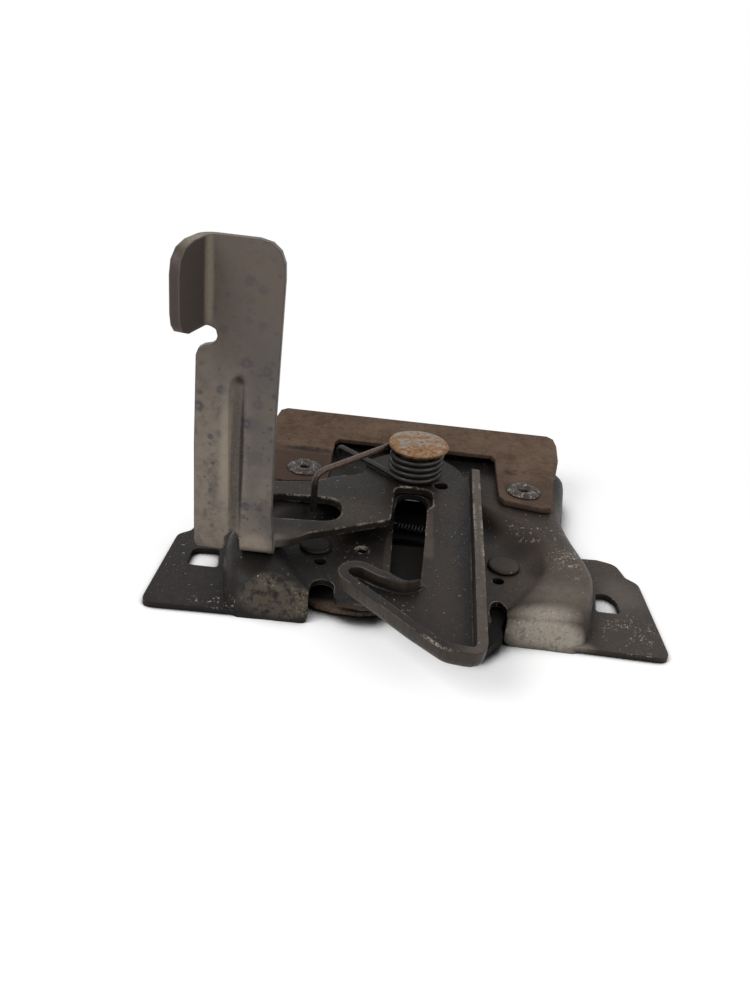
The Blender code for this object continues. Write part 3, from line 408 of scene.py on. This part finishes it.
def rubbed_handle(tree, where, broad, mid, fine):
    """Colour of the upright handle: warm grey bare steel, paler low down, stained by water and rust, with
    painted light and shade on its groove and painted highlights on the flange's top and fold.
    """
    height = add(tree, PART["Z"], where)
    bare = add(tree, MIX, add(tree, SOFT_STEP, height, 0.078, 0.040), "655b54", "7d7368")
    bare = add(tree, MIX, add(tree, SOFT_STEP, mid, 0.4, 0.75, 0.0, 0.7), bare, "5e554e")
    cool = both(tree, beyond(tree, where, "X", -49.5, -45), beyond(tree, where, "Z", 84, 70))
    bare = add(tree, MIX, both(tree, cool, add(tree, SOFT_STEP, broad, 0.25, 0.6, 0.35, 0.95)), bare,
               "5f5955")
    low = beyond(tree, where, "Z", 84, 46)
    stain = both(tree, water_rings(tree, where), add(tree, SOFT_STEP, mid, 0.3, 0.55, 0.25, 1.0),
                 add(tree, SOFT_STEP, low, 0.0, 1.0, 0.4, 1.0))
    bare = add(tree, MIX, add(tree, TIMES, stain, 0.85), bare, "45434a")
    clouds = both(tree, add(tree, SOFT_STEP, add(tree, NOISE, where, per(5), 5.0, 0.65, 0.5), 0.52, 0.64),
                  low)
    bare = add(tree, MIX, add(tree, TIMES, clouds, 0.6), bare, "55504e")
    rust_drops = both(tree, chips(tree, where, 1.6, 0.3),
                      patch(tree, where, (-42, -23, 26), (5, 6, 18), 0.9))
    bare = add(tree, MIX, rust_drops, bare, "3d3029")
    # Painted highlight along the groove's left lip
    lip_highlight = both(tree, patch(tree, where, (-52.6, -23, 42), (2.4, 10, 27), 0.8),
                add(tree, SOFT_STEP, mid, 0.2, 0.6, 0.5, 1.0))
    bare = add(tree, MIX, lip_highlight, bare, "8d8375")
    # Painted shade inside the groove
    pressed = both(tree, patch(tree, where, (-49.9, -21.6, 40), (2.0, 3, 28), 0.5),
                   add(tree, SOFT_STEP, fine, 0.2, 0.6, 0.5, 1.0))
    bare = add(tree, MIX, pressed, bare, "564e49")
    # Painted shadow line along the groove's right edge
    groove_edge_shadow = both(tree, patch(tree, where, (-48.4, -21.6, 40), (0.9, 3, 28), 0.6),
                        add(tree, SOFT_STEP, fine, 0.2, 0.6, 0.6, 1.0))
    bare = add(tree, MIX, groove_edge_shadow, bare, "2f2a27")
    # Painted shade at the groove's top end
    groove_end_shade = patch(tree, where, (-49.3, -22, 63.8), (2.1, 4, 2.4), 0.8)
    bare = add(tree, MIX, groove_end_shade, bare, "38312d")
    inside = both(tree, beyond(tree, where, "Z", 76.5, 79), beyond(tree, where, "Y", -24.5, -26),
                  beyond(tree, where, "X", -57.4, -58))
    bare = add(tree, MIX, inside, bare, "463e39")
    # Painted highlight on the upward faces of the flange's top
    top_highlight = both(tree, patch(tree, where, (-59, -28, 98), (6, 9, 5), 0.8), upward(tree, 0.15, 0.6))
    bare = add(tree, MIX, top_highlight, bare, "807768")
    # Painted highlight along the flange's fold, flecked
    fold = both(tree, beyond(tree, where, "Z", 77, 79),
                patch(tree, where, (-57.3, -23.6, 89), (1.6, 2.4, 20), 0.6))
    bare = add(tree, MIX, both(tree, fold, add(tree, SOFT_STEP, fine, 0.3, 0.5, 0.4, 1.0)), bare, "7d7264")
    bend = both(tree, patch(tree, where, (-44, -22, 15), (7, 5, 6), 0.6),
                add(tree, SOFT_STEP, mid, 0.25, 0.6, 0.5, 1.0))
    bare = add(tree, MIX, bend, bare, "918677")
    bare = add(tree, MIX, both(tree, edges(tree, 0.6), add(tree, SOFT_STEP, mid, 0.35, 0.6, 0.3, 0.9)), bare,
               "4a433d")
    flange_edge = both(tree, edges(tree, 0.7), beyond(tree, where, "Z", 76, 79),
                       beyond(tree, where, "X", -56.5, -58))
    return add(tree, MIX, flange_edge, bare, "776e64")


# Bare steel gone to dry brown rust, streaked along the bar, darker along the kink, stained dark at the rivets
def dry_brown_rust():
    made, tree, shader, where = start_material("dry_brown_rust")
    broad = add(tree, NOISE, where, per(16), 5.0, 0.6)
    mid = add(tree, NOISE, where, per(2.2), 4.0, 0.65)
    fine = add(tree, NOISE, where, per(0.6), 2.0, 0.7)
    streak = add(tree, NOISE, add(tree, STRETCH, where, (0.55, 1.0, 1.0)), per(1.5), 6.0, 0.74)
    colour = add(tree, MIX, add(tree, SOFT_STEP, broad, 0.35, 0.65), "524034", "6c594b")
    colour = add(tree, MIX, add(tree, SOFT_STEP, streak, 0.45, 0.75, 0.0, 0.45), colour, "7e6a59")
    colour = add(tree, MIX, add(tree, SOFT_STEP, streak, 0.46, 0.28, 0.0, 0.35), colour, "3d2e26")
    colour = add(tree, MIX, add(tree, SOFT_STEP, mid, 0.5, 0.68, 0.0, 0.45), colour, "4a372a")
    colour = add(tree, MIX, add(tree, SOFT_STEP, fine, 0.6, 0.7, 0.0, 0.5), colour, "30241c")
    rivet_stain = either(tree, patch(tree, where, (36.4, 33, 14), (10, 9, 5), 0.8),
                         patch(tree, where, (-36.4, 33, 14), (11, 11, 5), 0.8))
    colour = add(tree, MIX, both(tree, rivet_stain, add(tree, SOFT_STEP, mid, 0.25, 0.6, 0.35, 0.85)),
                 colour, "45342a")
    left_leg = both(tree, beyond(tree, where, "X", -22, -30), beyond(tree, where, "Y", 47, 42))
    colour = add(tree, MIX, both(tree, left_leg, add(tree, SOFT_STEP, broad, 0.2, 0.6, 0.5, 0.9)), colour,
                 "3d2d24")
    # The kink's two bends are coloured darker, mottled
    kink = both(tree, patch(tree, where, (-36, 45.6, 14.6), (13, 2.2, 3), 0.7),
                add(tree, SOFT_STEP, mid, 0.3, 0.55, 0.5, 1.0))
    right_kink = both(tree, patch(tree, where, (34, 45.0, 14.6), (9, 2.6, 3), 0.9),
                      add(tree, SOFT_STEP, mid, 0.4, 0.6, 0.1, 0.8))
    colour = add(tree, MIX, either(tree, kink, right_kink), colour, "2b231f")
    # Painted shade and grime in the corners
    colour = add(tree, MIX, both(tree, corners(tree, 4), add(tree, SOFT_STEP, fine, 0.2, 0.7, 0.5, 0.9)),
                 colour, "241b17")
    colour = add(tree, MIX, both(tree, edges(tree, 0.6), add(tree, SOFT_STEP, mid, 0.45, 0.6, 0.0, 0.6)),
                 colour, "3a2b21")
    finish(tree, shader, colour, add(tree, SOFT_STEP, fine, 0.3, 0.7, 0.65, 0.85), mid, 0.35, 0.15, 0.6)
    shader.inputs["Specular IOR Level"].default_value = 0.2
    return made


# Riveted steel tube ends: dark and stained, scratched white on their torn rims
def scratched_grey_steel():
    made, tree, shader, where = start_material("scratched_grey_steel")
    mid = add(tree, NOISE, where, per(1.5), 4.0, 0.7, 0.8)
    fine = add(tree, NOISE, where, per(0.45), 2.0, 0.7)
    colour = add(tree, MIX, add(tree, SOFT_STEP, mid, 0.35, 0.65), "26211e", "463e37")
    # Painted shade and grime in the corners and the bore
    colour = add(tree, MIX, corners(tree, 1.6, 0.5, 0.9), colour, "1d1a18")
    scratches = both(tree, add(tree, SOFT_STEP, mid, 0.55, 0.6), add(tree, SOFT_STEP, fine, 0.48, 0.56))
    colour = add(tree, MIX, scratches, colour, "a9a39a")
    finish(tree, shader, colour, add(tree, SOFT_STEP, fine, 0.3, 0.7, 0.3, 0.6), mid, 0.6, 0.3, 0.2)
    shader.inputs["Metallic"].default_value = 0.3
    return made


# Stud head: ochre rust, with grey-white patches of old zinc towards its far side, dark brown at the rim
def ochre_rust_on_zinc():
    made, tree, shader, where = start_material("ochre_rust_on_zinc")
    broad = add(tree, NOISE, where, per(5), 6.0, 0.72, 0.6)
    mid = add(tree, NOISE, where, per(1.3), 5.0, 0.72, 0.5)
    fine = add(tree, NOISE, where, per(0.45), 2.0, 0.7)
    colour = add(tree, MIX, add(tree, SOFT_STEP, mid, 0.35, 0.65), "765131", "a67b4f")
    far_side = add(tree, SOFT_STEP, add(tree, PART["Y"], where), 0.029, 0.041, 0.0, 0.14)
    zinc = add(tree, SOFT_STEP, add(tree, LARGER, broad, add(tree, TIMES, far_side, 4.0)), 0.47, 0.56)
    top = upward(tree, 0.5, 0.9)
    colour = add(tree, MIX, both(tree, zinc, top, add(tree, SOFT_STEP, mid, 0.36, 0.56, 0.2, 1.0)), colour,
                 "a0978c")
    colour = add(tree, MIX, both(tree, top, add(tree, SOFT_STEP, mid, 0.58, 0.68, 0.0, 0.8)), colour,
                 "c2ae90")
    colour = add(tree, MIX, add(tree, SOFT_STEP, mid, 0.42, 0.32, 0.0, 0.9), colour, "4a3526")
    side = outside(tree, upward(tree, 0.1, 0.75))
    colour = add(tree, MIX, both(tree, side, add(tree, SOFT_STEP, mid, 0.3, 0.6, 1.0, 0.45)), colour,
                 "33261e")
    finish(tree, shader, colour, add(tree, SOFT_STEP, fine, 0.3, 0.7, 0.5, 0.8), mid, 0.6, 0.3, 0.3)
    shader.inputs["Specular IOR Level"].default_value = 0.35
    return made


# Hard-drawn spring wire, blackened and oily, its long upper leg browned by rust and flecked with painted
# highlights
def oiled_spring_wire():
    made, tree, shader, where = start_material("oiled_spring_wire")
    mid = add(tree, NOISE, where, per(2), 4.0, 0.6)
    fine = add(tree, NOISE, where, per(0.5), 2.0, 0.7)
    colour = add(tree, MIX, add(tree, SOFT_STEP, mid, 0.35, 0.65), "1f1c1b", "2e2a28")
    leg = both(tree, beyond(tree, where, "X", -8, -12), beyond(tree, where, "Z", 19, 21.5),
               beyond(tree, where, "Y", 6, 12))
    colour = add(tree, MIX, both(tree, leg, add(tree, SOFT_STEP, mid, 0.2, 0.6, 0.6, 1.0)), colour, "513f34")
    # Pale flecks on the upper leg: painted highlights
    colour = add(tree, MIX, both(tree, leg, add(tree, SOFT_STEP, fine, 0.55, 0.66, 0.0, 0.9)), colour,
                 "80705f")
    finish(tree, shader, colour, add(tree, SOFT_STEP, fine, 0.3, 0.7, 0.3, 0.5), fine, 0.2, 0.05, 0.1)
    shader.inputs["Metallic"].default_value = 0.4
    return made


# Zinc-plated steel of the catch, dulled by old grease and painted near black as painted shade for the striker
# slot, brown on its front edge
def greasy_steel_with_painted_shade():
    made, tree, shader, where = start_material("greasy_steel_with_painted_shade")
    broad = add(tree, NOISE, where, per(8), 4.0)
    fine = add(tree, NOISE, where, per(0.8), 3.0, 0.7)
    # Near-black base colour: grease, and painted shade for the inside of the striker slot
    colour = add(tree, MIX, add(tree, SOFT_STEP, broad, 0.35, 0.65), "0f0e0d", "191614")
    front = both(tree, beyond(tree, where, "Y", -24, -28), beyond(tree, where, "X", 6, -4))
    colour = add(tree, MIX, both(tree, front, add(tree, SOFT_STEP, fine, 0.3, 0.6, 0.4, 1.0)), colour,
                 "6a5a4c")
    colour = add(tree, MIX, both(tree, edges(tree, 0.4), add(tree, SOFT_STEP, broad, 0.45, 0.6, 0.0, 0.5)),
                 colour, "5a5047")
    finish(tree, shader, colour, add(tree, SOFT_STEP, broad, 0.3, 0.7, 0.6, 0.8), fine, 0.2, 0.08, 0.25)
    shader.inputs["Metallic"].default_value = 0.1
    shader.inputs["Specular IOR Level"].default_value = 0.15
    return made


PAINT = worn_black_paint()
LEVER_STEEL = worn_lever_steel()
RUST = dry_brown_rust()
RIVET_STEEL = scratched_grey_steel()
HEAD_RUST = ochre_rust_on_zinc()
SPRING_WIRE = oiled_spring_wire()
CATCH_STEEL = greasy_steel_with_painted_shade()


def put_in(name, points, faces, look, replaced, sharp_degrees, between=None):
    """Object at the origin from arrays of points in metres and of faces, smooth except at sharp edges.

    It may stand for a node. It rides on that node's body or else on the frame; where between is given,
    it stays fixed in place instead, and the names and points that between holds are not used.
    """
    mesh = bpy.data.meshes.new(name)
    mesh.from_pydata(points.tolist(), [], faces.tolist() if isinstance(faces, np.ndarray) else faces)
    mesh.update()
    mesh.materials.append(look)
    made = bpy.data.objects.new(name, mesh)
    bpy.context.scene.collection.objects.link(made)
    mesh.polygons.foreach_set("use_smooth", np.ones(len(mesh.polygons), dtype=bool))
    if between:
        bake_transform(made)
    else:
        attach(made, BODY_OF[replaced] if replaced else "frame")
    if replaced:
        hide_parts(replaced)
    mesh.set_sharp_from_angle(angle=math.radians(sharp_degrees))
    return made


def joined_sheet(name, look, sharp_degrees):
    """Copy of a node's loose triangles with equal corners joined, smooth except along its sharp edges."""
    mesh = nodes[name].data
    raw = np.empty(len(mesh.vertices) * 3)
    mesh.vertices.foreach_get("co", raw)
    mesh.calc_loop_triangles()
    corner = np.empty(len(mesh.loop_triangles) * 3, dtype=np.int32)
    mesh.loop_triangles.foreach_get("vertices", corner)
    places = raw.reshape(-1, 3)
    _, first, same = np.unique(np.round(places, 6), axis=0, return_index=True, return_inverse=True)
    faces = same.reshape(-1)[corner].reshape(-1, 3)
    whole = (faces[:, 0] != faces[:, 1]) & (faces[:, 1] != faces[:, 2]) & (faces[:, 0] != faces[:, 2])
    made = put_in("fine_" + name, places[first], faces[whole], look, name, sharp_degrees)
    weigh = made.modifiers.new("normals", "WEIGHTED_NORMAL")
    weigh.keep_sharp = True


def ring_faces(rows, count):
    """Four-sided faces between the rows of a grid of points, each row a closed ring of count points."""
    i, j = np.meshgrid(np.arange(rows - 1), np.arange(count), indexing="ij")
    k = (j + 1) % count
    faces = np.stack([i * count + j, i * count + k, (i + 1) * count + k, (i + 1) * count + j], axis=-1)
    return faces.reshape(-1, 4)


def closed_faces(rows, count):
    """Those faces as lists, with a flat face over the first row and one over the last."""
    ends = [list(range(count))[::-1], list(range((rows - 1) * count, rows * count))]
    return ring_faces(rows, count).tolist() + ends


def turned(name, profile, sides, centre, dents, look, sharp_degrees):
    """Piece that stands for a node: a profile (radius, height) in mm turned about an upright axis.

    x = centre x + r cos a, y = centre y + r sin a, z = h, where dents(r, h, a) gives back the radius
    and height with the dents of that place; the last point round is joined to the first.
    """
    angles = np.linspace(0, math.tau, sides, endpoint=False)
    radius, angle = np.meshgrid(profile[:, 0], angles, indexing="ij")
    height = np.repeat(profile[:, 1][:, None], sides, axis=1)
    radius, height = dents(radius, height, angle)
    x = centre[0] + radius * np.cos(angle)
    y = centre[1] + radius * np.sin(angle)
    points = np.stack([x, y, height], axis=-1).reshape(-1, 3) * MM
    # A face that starts at its second corner is split along its other diagonal
    faces = np.roll(ring_faces(len(profile), sides), -1, axis=1)
    put_in("fine_" + name, points, faces, look, name, sharp_degrees)


def dense(profile, step):
    """Profile with extra points so that none lies further than a step from the next."""
    profile = np.array(profile, dtype=float)
    pieces = []
    for a, b in zip(profile, profile[1:]):
        count = max(1, int(np.ceil(np.linalg.norm(b - a) / step)))
        pieces.append(a + (b - a) * np.linspace(0, 1, count, endpoint=False)[:, None])
    return np.concatenate(pieces + [profile[-1:]])


def waves(angle, radius, seed, size):
    """Sum of five slow waves round and across a disc, about size mm high, the same on every run."""
    rng = np.random.default_rng(seed)
    total = np.zeros_like(angle)
    for turn in range(1, 6):
        total += rng.normal() * np.cos(turn * angle + rng.uniform(0, 6.28)) * (radius / 10) ** 1.2 / turn
        total += rng.normal() * np.sin(radius * 0.55 * turn + rng.uniform(0,
                                                                          6.28) + angle) / (turn + 1) * 0.5
    return size * total


def pivot_stud():
    """Stud with a flat, slightly dented head whose rim is uneven, from the head's top to the riveted end."""
    top = PLATFORM + GAP + LEVER_T + GAP + 2 * WIRE_R + COIL_TURNS * COIL_PITCH + GAP
    low = PLATFORM - SHEET_T - GAP
    profile = dense([(0.02, top + 1.85), (5.0, top + 1.85), (8.6, top + 1.8), (9.6, top + 1.5),
                     (10.3, top + 0.85),
                     (10.2, top + 0.2), (9.6, top), (5.2, top)], 0.35)
    stem = np.array([(5.2, low), (7.0, low), (6.6, low - 1.0), (0.02, low - 1.3)])

    def dents(r, h, a):
        head = h > top - 0.01
        rise = waves(a, r, 3, 0.09) * np.clip(1.2 - r / 12, 0, 1)
        edge = np.clip((r - 8.6) / 1.6, 0, 1)
        return r - head * edge * np.abs(waves(a, r, 8, 0.22)), h + np.where(head & (h > top + 0.5), rise, 0)

    whole = np.concatenate([profile, stem])
    turned("pivot_stud", whole, 96, PIVOT, dents, HEAD_RUST, 45)


def rivets():
    """Tube ends flared over the bracket: a dished ring whose rim is torn and uneven."""
    low = PLATFORM - SHEET_T - GAP
    high = PLATFORM + GAP + SHEET_T + GAP
    profile = dense([(1.5, low - 0.9), (1.5, high + 0.1), (2.0, high + 0.55), (2.9, high + 1.1),
                     (4.1, high + 1.15),
                     (5.1, high + 0.75), (5.75, high + 0.12), (5.6, high + 0.02), (3.3, high), (3.3, low),
                     (5.0, low),
                     (4.8, low - 0.7), (1.5, low - 0.9)], 0.3)
    for side, word, seed in ((-1, "left", 5), (1, "right", 12)):
        def torn(r, h, a, seed=seed):
            crown = h > high + 0.05
            edge = np.clip((r - 2.2) / 3.0, 0, 1) * crown
            tear = np.abs(np.sin(a * 2.5 + seed)) ** 6 * 0.5 + np.abs(waves(a, r, seed, 0.2))
            return r - edge * tear * 0.6, h - edge * np.clip(tear, 0, 0.55) * 0.6

        centre = (side * EYELET[0], EYELET[1])
        turned("bracket_rivet_" + word, profile, 80, centre, torn, RIVET_STEEL, 60)


def pins():
    """Painted rivet heads in the pan, low domes with a soft rim, and their plain lower ends."""
    head = PAN + GAP
    low = BACK_UNDER - 0.2
    profile = dense([(0.02, head + 0.93), (3.6, head + 0.88), (4.3, head + 0.78), (4.7, head + 0.55),
                     (4.83, head + 0.25),
                     (4.75, head), (3.2, head), (3.2, low), (4.6, low), (4.4, low - 0.3),
                     (0.02, low - 0.35)], 0.4)
    for side, name, seed in ((1, "catch_pin", 21), (-1, "pawl_pin", 34)):
        def soft(r, h, a, seed=seed):
            top = h > head + 0.01
            inward = np.where(top & (r > 3.4), np.abs(waves(a, r, seed, 0.05)), 0)
            sunk = np.where(top & (r < 4.4), np.abs(waves(a, r, seed, 0.03)), 0)
            return r - inward, h - sunk

        turned(name, profile, 64, (side * PIN[0], PIN[1]), soft, PAINT, 50)


def tube(points, radius, sides):
    """Round skin about a path: at each point a ring of radius r in the plane across the path.

    The ring's axes are carried along without twist, and both ends are closed with a flat face.
    """
    points = np.asarray(points, dtype=float)
    ways = np.gradient(points, axis=0)
    ways /= np.linalg.norm(ways, axis=1)[:, None]
    first = np.cross(ways[0], (0.3, 0.5, 0.8))
    axes = [first / np.linalg.norm(first)]
    for way in ways[1:]:
        side = axes[-1] - way * np.dot(axes[-1], way)
        axes.append(side / np.linalg.norm(side))
    side = np.array(axes)
    up = np.cross(ways, side)
    turn = np.linspace(0, math.tau, sides, endpoint=False)
    ring = side[:, None] * np.cos(turn)[:, None] + up[:, None] * np.sin(turn)[:, None]
    skin = points[:, None] + radius * ring
    return skin.reshape(-1, 3) * MM, closed_faces(len(points), sides)


def eased(points, step):
    """Smooth line from a wire's corner points: even steps, each point averaged with its neighbours."""
    points = np.array(points, dtype=float)
    length = np.concatenate([[0], np.cumsum(np.linalg.norm(np.diff(points, axis=0), axis=1))])
    even = np.linspace(0, length[-1], max(2, int(length[-1] / step)))
    line = np.stack([np.interp(even, length, points[:, axis]) for axis in range(3)], axis=1)
    for _ in range(3):
        line[1:-1] = (line[:-2] + 2 * line[1:-1] + line[2:]) / 4
    return line


def lever_spring():
    """Torsion spring: a leg to the bracket, close coils of a helix round the stud, a leg into the wing slot.

    The whole spring is built in place and stays there; it does not wind with the lever.
    """
    z_low = PLATFORM + GAP + LEVER_T + GAP + WIRE_R
    turn = np.radians(np.linspace(COIL_FROM, COIL_TO, 400))
    coil = np.stack([PIVOT[0] + COIL_R * np.cos(turn), PIVOT[1] + COIL_R * np.sin(turn),
                     z_low + COIL_PITCH * (np.degrees(turn) - COIL_FROM) / 360], axis=1)
    z_high = coil[-1, 2]
    lower = [(-26.4, 84.2, z_low - 2.6), (-26.4, 84.2, z_low - 0.8), (-25.7, 83.5, z_low),
             (-12.0, 71.2, z_low)]
    upper = [(-28.6, 48.6, z_high), (-30.3, 46.3, z_high - 0.5), (-30.9, 45.5, z_high - 2.0),
             (-30.9, 45.5, 11.3)]
    shift = np.array((0, -DATUM_Y, 0))
    path = eased(np.concatenate([np.array(lower) + shift, coil, np.array(upper) + shift]), 0.6)
    points, faces = tube(path, WIRE_R, 18)
    wound = ("frame", "lever", (0, 0, 6.6 * MM), (0, -0.5 * MM, 8.03 * MM))
    put_in("fine_lever_spring", points, faces, SPRING_WIRE, "lever_spring", 60, wound)


def catch_spring():
    """Tension spring in two halves that meet at its middle, each reaching to the tail that it pulls; both
    stay fixed in place.

    Along the line of the two tails runs a helix of 11 turns (side = r sin a, height = top - r + r cos a),
    and from it straight wires whose ends turn down into the tails' holes.
    """
    left, right = np.array(PAWL_TAIL), np.array(FORK_TAIL)
    middle = (left + right) / 2
    reach = np.linalg.norm(right - left) / 2
    span = (right - left) / (2 * reach)
    across = np.array((-span[1], span[0]))
    top, low, radius, half_length, wire_radius = 4.8, 2.4, 1.1, 6.0, 0.4
    turn = np.linspace(0, 11 * math.tau, 221)
    coil = np.stack([np.linspace(-half_length, half_length, len(turn)), radius * np.sin(turn),
                     top - radius + radius * np.cos(turn)], axis=1)
    wire = dense([(-reach, 0, low), (-reach, 0, top - 0.4), (-reach + 0.4, 0, top),
                  (-half_length - 0.8, 0, top)], 0.6)
    line = np.concatenate([wire, coil, wire[::-1] * (-1, 1, 1)])
    cut = len(wire) + len(coil) // 2
    halves = (("pawl_half", "pawl", line[:cut + 1], -1), ("fork_half", "fork", line[cut:], 1))
    for word, body, part, side in halves:
        plan = middle + part[:, :1] * span + part[:, 1:2] * across
        points, faces = tube(np.column_stack([plan, part[:, 2]]), wire_radius, 10)
        hook = middle + span * side * (reach - 1.5)
        bend = ("frame", body, (*(middle * MM), 0), (*(hook * MM), 0))
        put_in("catch_spring_" + word, points, faces, SPRING_WIRE, "catch_spring", 60, bend)


def rear_lip():
    """Turned-up rear edge of the plate under the bracket's bar, in black paint; it stands in for the shade in
    the gap under the bar.

    A closed outline of y and z (a step whose foot is rounded) is carried straight along x, and its two
    ends are closed.
    """
    foot, wall, half_sheet, half_width = 93.2, 95.0, 0.8, 44.0
    floor, base, rise, top, crown_rise = 11.9, 12.15, 1.8, 17.0, 0.3
    curve = np.linspace(0, math.pi / 2, 7)
    bend = np.stack([foot + (wall - foot) * np.sin(curve), base + rise * (1 - np.cos(curve))], axis=1)
    over = np.linspace(0, math.pi, 9)
    crown = np.stack([wall + half_sheet - half_sheet * np.cos(over),
                      top - crown_rise + crown_rise * np.sin(over)], axis=1)
    outline = np.concatenate([bend, crown, [(wall + 2 * half_sheet, floor), (foot, floor)]])
    rows = np.linspace(-half_width, half_width, 24)
    grid = np.empty((len(rows), len(outline), 3))
    grid[..., 0] = rows[:, None]
    grid[..., 1] = outline[:, 0] - DATUM_Y
    grid[..., 2] = outline[:, 1]
    faces = closed_faces(len(rows), len(outline))
    put_in("rear_lip", grid.reshape(-1, 3) * MM, faces, PAINT, None, 50)


joined_sheet("base_plate", PAINT, 38)
rear_lip()
joined_sheet("rear_bracket", RUST, 40)
joined_sheet("safety_lever", LEVER_STEEL, 40)
for catch_part in ("catch_fork", "pawl", "back_plate"):
    joined_sheet(catch_part, CATCH_STEEL, 40)
catch_spring()
pivot_stud()
rivets()
pins()
lever_spring()


def camera():
    """Camera at the photograph's place: level turn, tilt down, then a roll about its own line of sight."""
    data = bpy.data.cameras.new("photo_camera")
    data.sensor_width = SENSOR_WIDTH
    data.lens = SENSOR_WIDTH * FOCAL_PIXELS / LONG_SIDE_PIXELS
    data.clip_start = 0.01
    made = bpy.data.objects.new("photo_camera", data)
    bpy.context.scene.collection.objects.link(made)
    turn = Matrix.Rotation(math.radians(90 - CAMERA_DOWN), 4, "X")
    roll = Matrix.Rotation(math.radians(CAMERA_ROLL), 4, "Z")
    made.matrix_world = Matrix.Translation(Vector(CAMERA_PLACE) * MM) @ turn @ roll
    bpy.context.scene.camera = made


def soft_light(name, place_mm, watts):
    """Square area lamp that looks at the middle of the object."""
    data = bpy.data.lights.new(name, "AREA")
    data.size = LAMP_SIDE * MM
    data.energy = watts
    made = bpy.data.objects.new(name, data)
    bpy.context.scene.collection.objects.link(made)
    place = Vector(place_mm) * MM
    made.location = place
    middle = Vector((0, 0, 0.02))
    made.rotation_euler = (place - middle).to_track_quat("Z", "Y").to_euler()


def seen_directly(tree):
    """1 for rays from the camera and for those that gloss or glass sends on."""
    return either(tree, *[add(tree, kind) for kind in SEEN_BY.values()])


def pale_floor():
    """White card that keeps the object's shadow near by, with painted shade where the object covers it,
    painted nearly black under its slot, and plain white far off.
    """
    made, tree, shader, where = start_material("pale_floor")
    # Painted shadow: the floor is painted dark where the object covers it and nearly black under its slot
    beneath = outside(tree, patch(tree, where, (1, 8, 0), (15, 44, 10), 0.3))
    covered = both(tree, add(tree, SOFT_STEP, add(tree, OPENNESS, 10 * MM), 0.45, 0.82), beneath)
    card = add(tree, MIX, add(tree, NOISE, where, per(400), 1.0), "f2f2f2", "f6f6f6")
    shade = add(tree, MIX, beneath, "0d0c0c", "2a2827")
    tree.links.new(add(tree, MIX, covered, shade, card), shader.inputs["Base Color"])
    shader.inputs["Roughness"].default_value = 0.9
    shader.inputs["Specular IOR Level"].default_value = 0.1
    seen = seen_directly(tree)
    glow = add(tree, TIMES, both(tree, seen, covered), FLOOR_GLOW)
    near = add(tree, ON_TOP, shader.outputs[0], add(tree, GLOW, (1, 1, 1, 1), glow))
    far = add(tree, SOFT_STEP, add(tree, LENGTH, where), FADE_FROM, FADE_TO)
    plain = add(tree, GLOW, (1, 1, 1, 1), 1.0)
    mix = add(tree, ONE_OR_OTHER, both(tree, seen, far), near, plain)
    tree.links.new(mix, tree.nodes["Material Output"].inputs["Surface"])
    return made


def studio():
    """Pale floor, a grey world that the camera sees as white, and two soft lamps."""
    mesh = bpy.data.meshes.new("floor")
    reach = 6.0
    mesh.from_pydata([(-reach, -reach, 0), (reach, -reach, 0), (reach, reach, 0), (-reach, reach, 0)], [],
                     [(0, 1, 2, 3)])
    floor = bpy.data.objects.new("floor", mesh)
    bpy.context.scene.collection.objects.link(floor)
    mesh.materials.append(pale_floor())
    world = bpy.data.worlds.new("studio")
    bpy.context.scene.world = world
    world.use_nodes = True
    tree = world.node_tree
    background = tree.nodes["Background"]
    background.inputs["Color"].default_value = (1, 1, 1, 1)
    strength = add(tree, SOFT_STEP, seen_directly(tree), 0.0, 1.0, SKY_STRENGTH, 1.0)
    tree.links.new(strength, background.inputs["Strength"])
    soft_light("window", (-550, -450, 700), WINDOW_WATTS)
    soft_light("fill", (600, -400, 450), FILL_WATTS)


camera()
studio()
bpy.context.scene.view_settings.view_transform = "Standard"
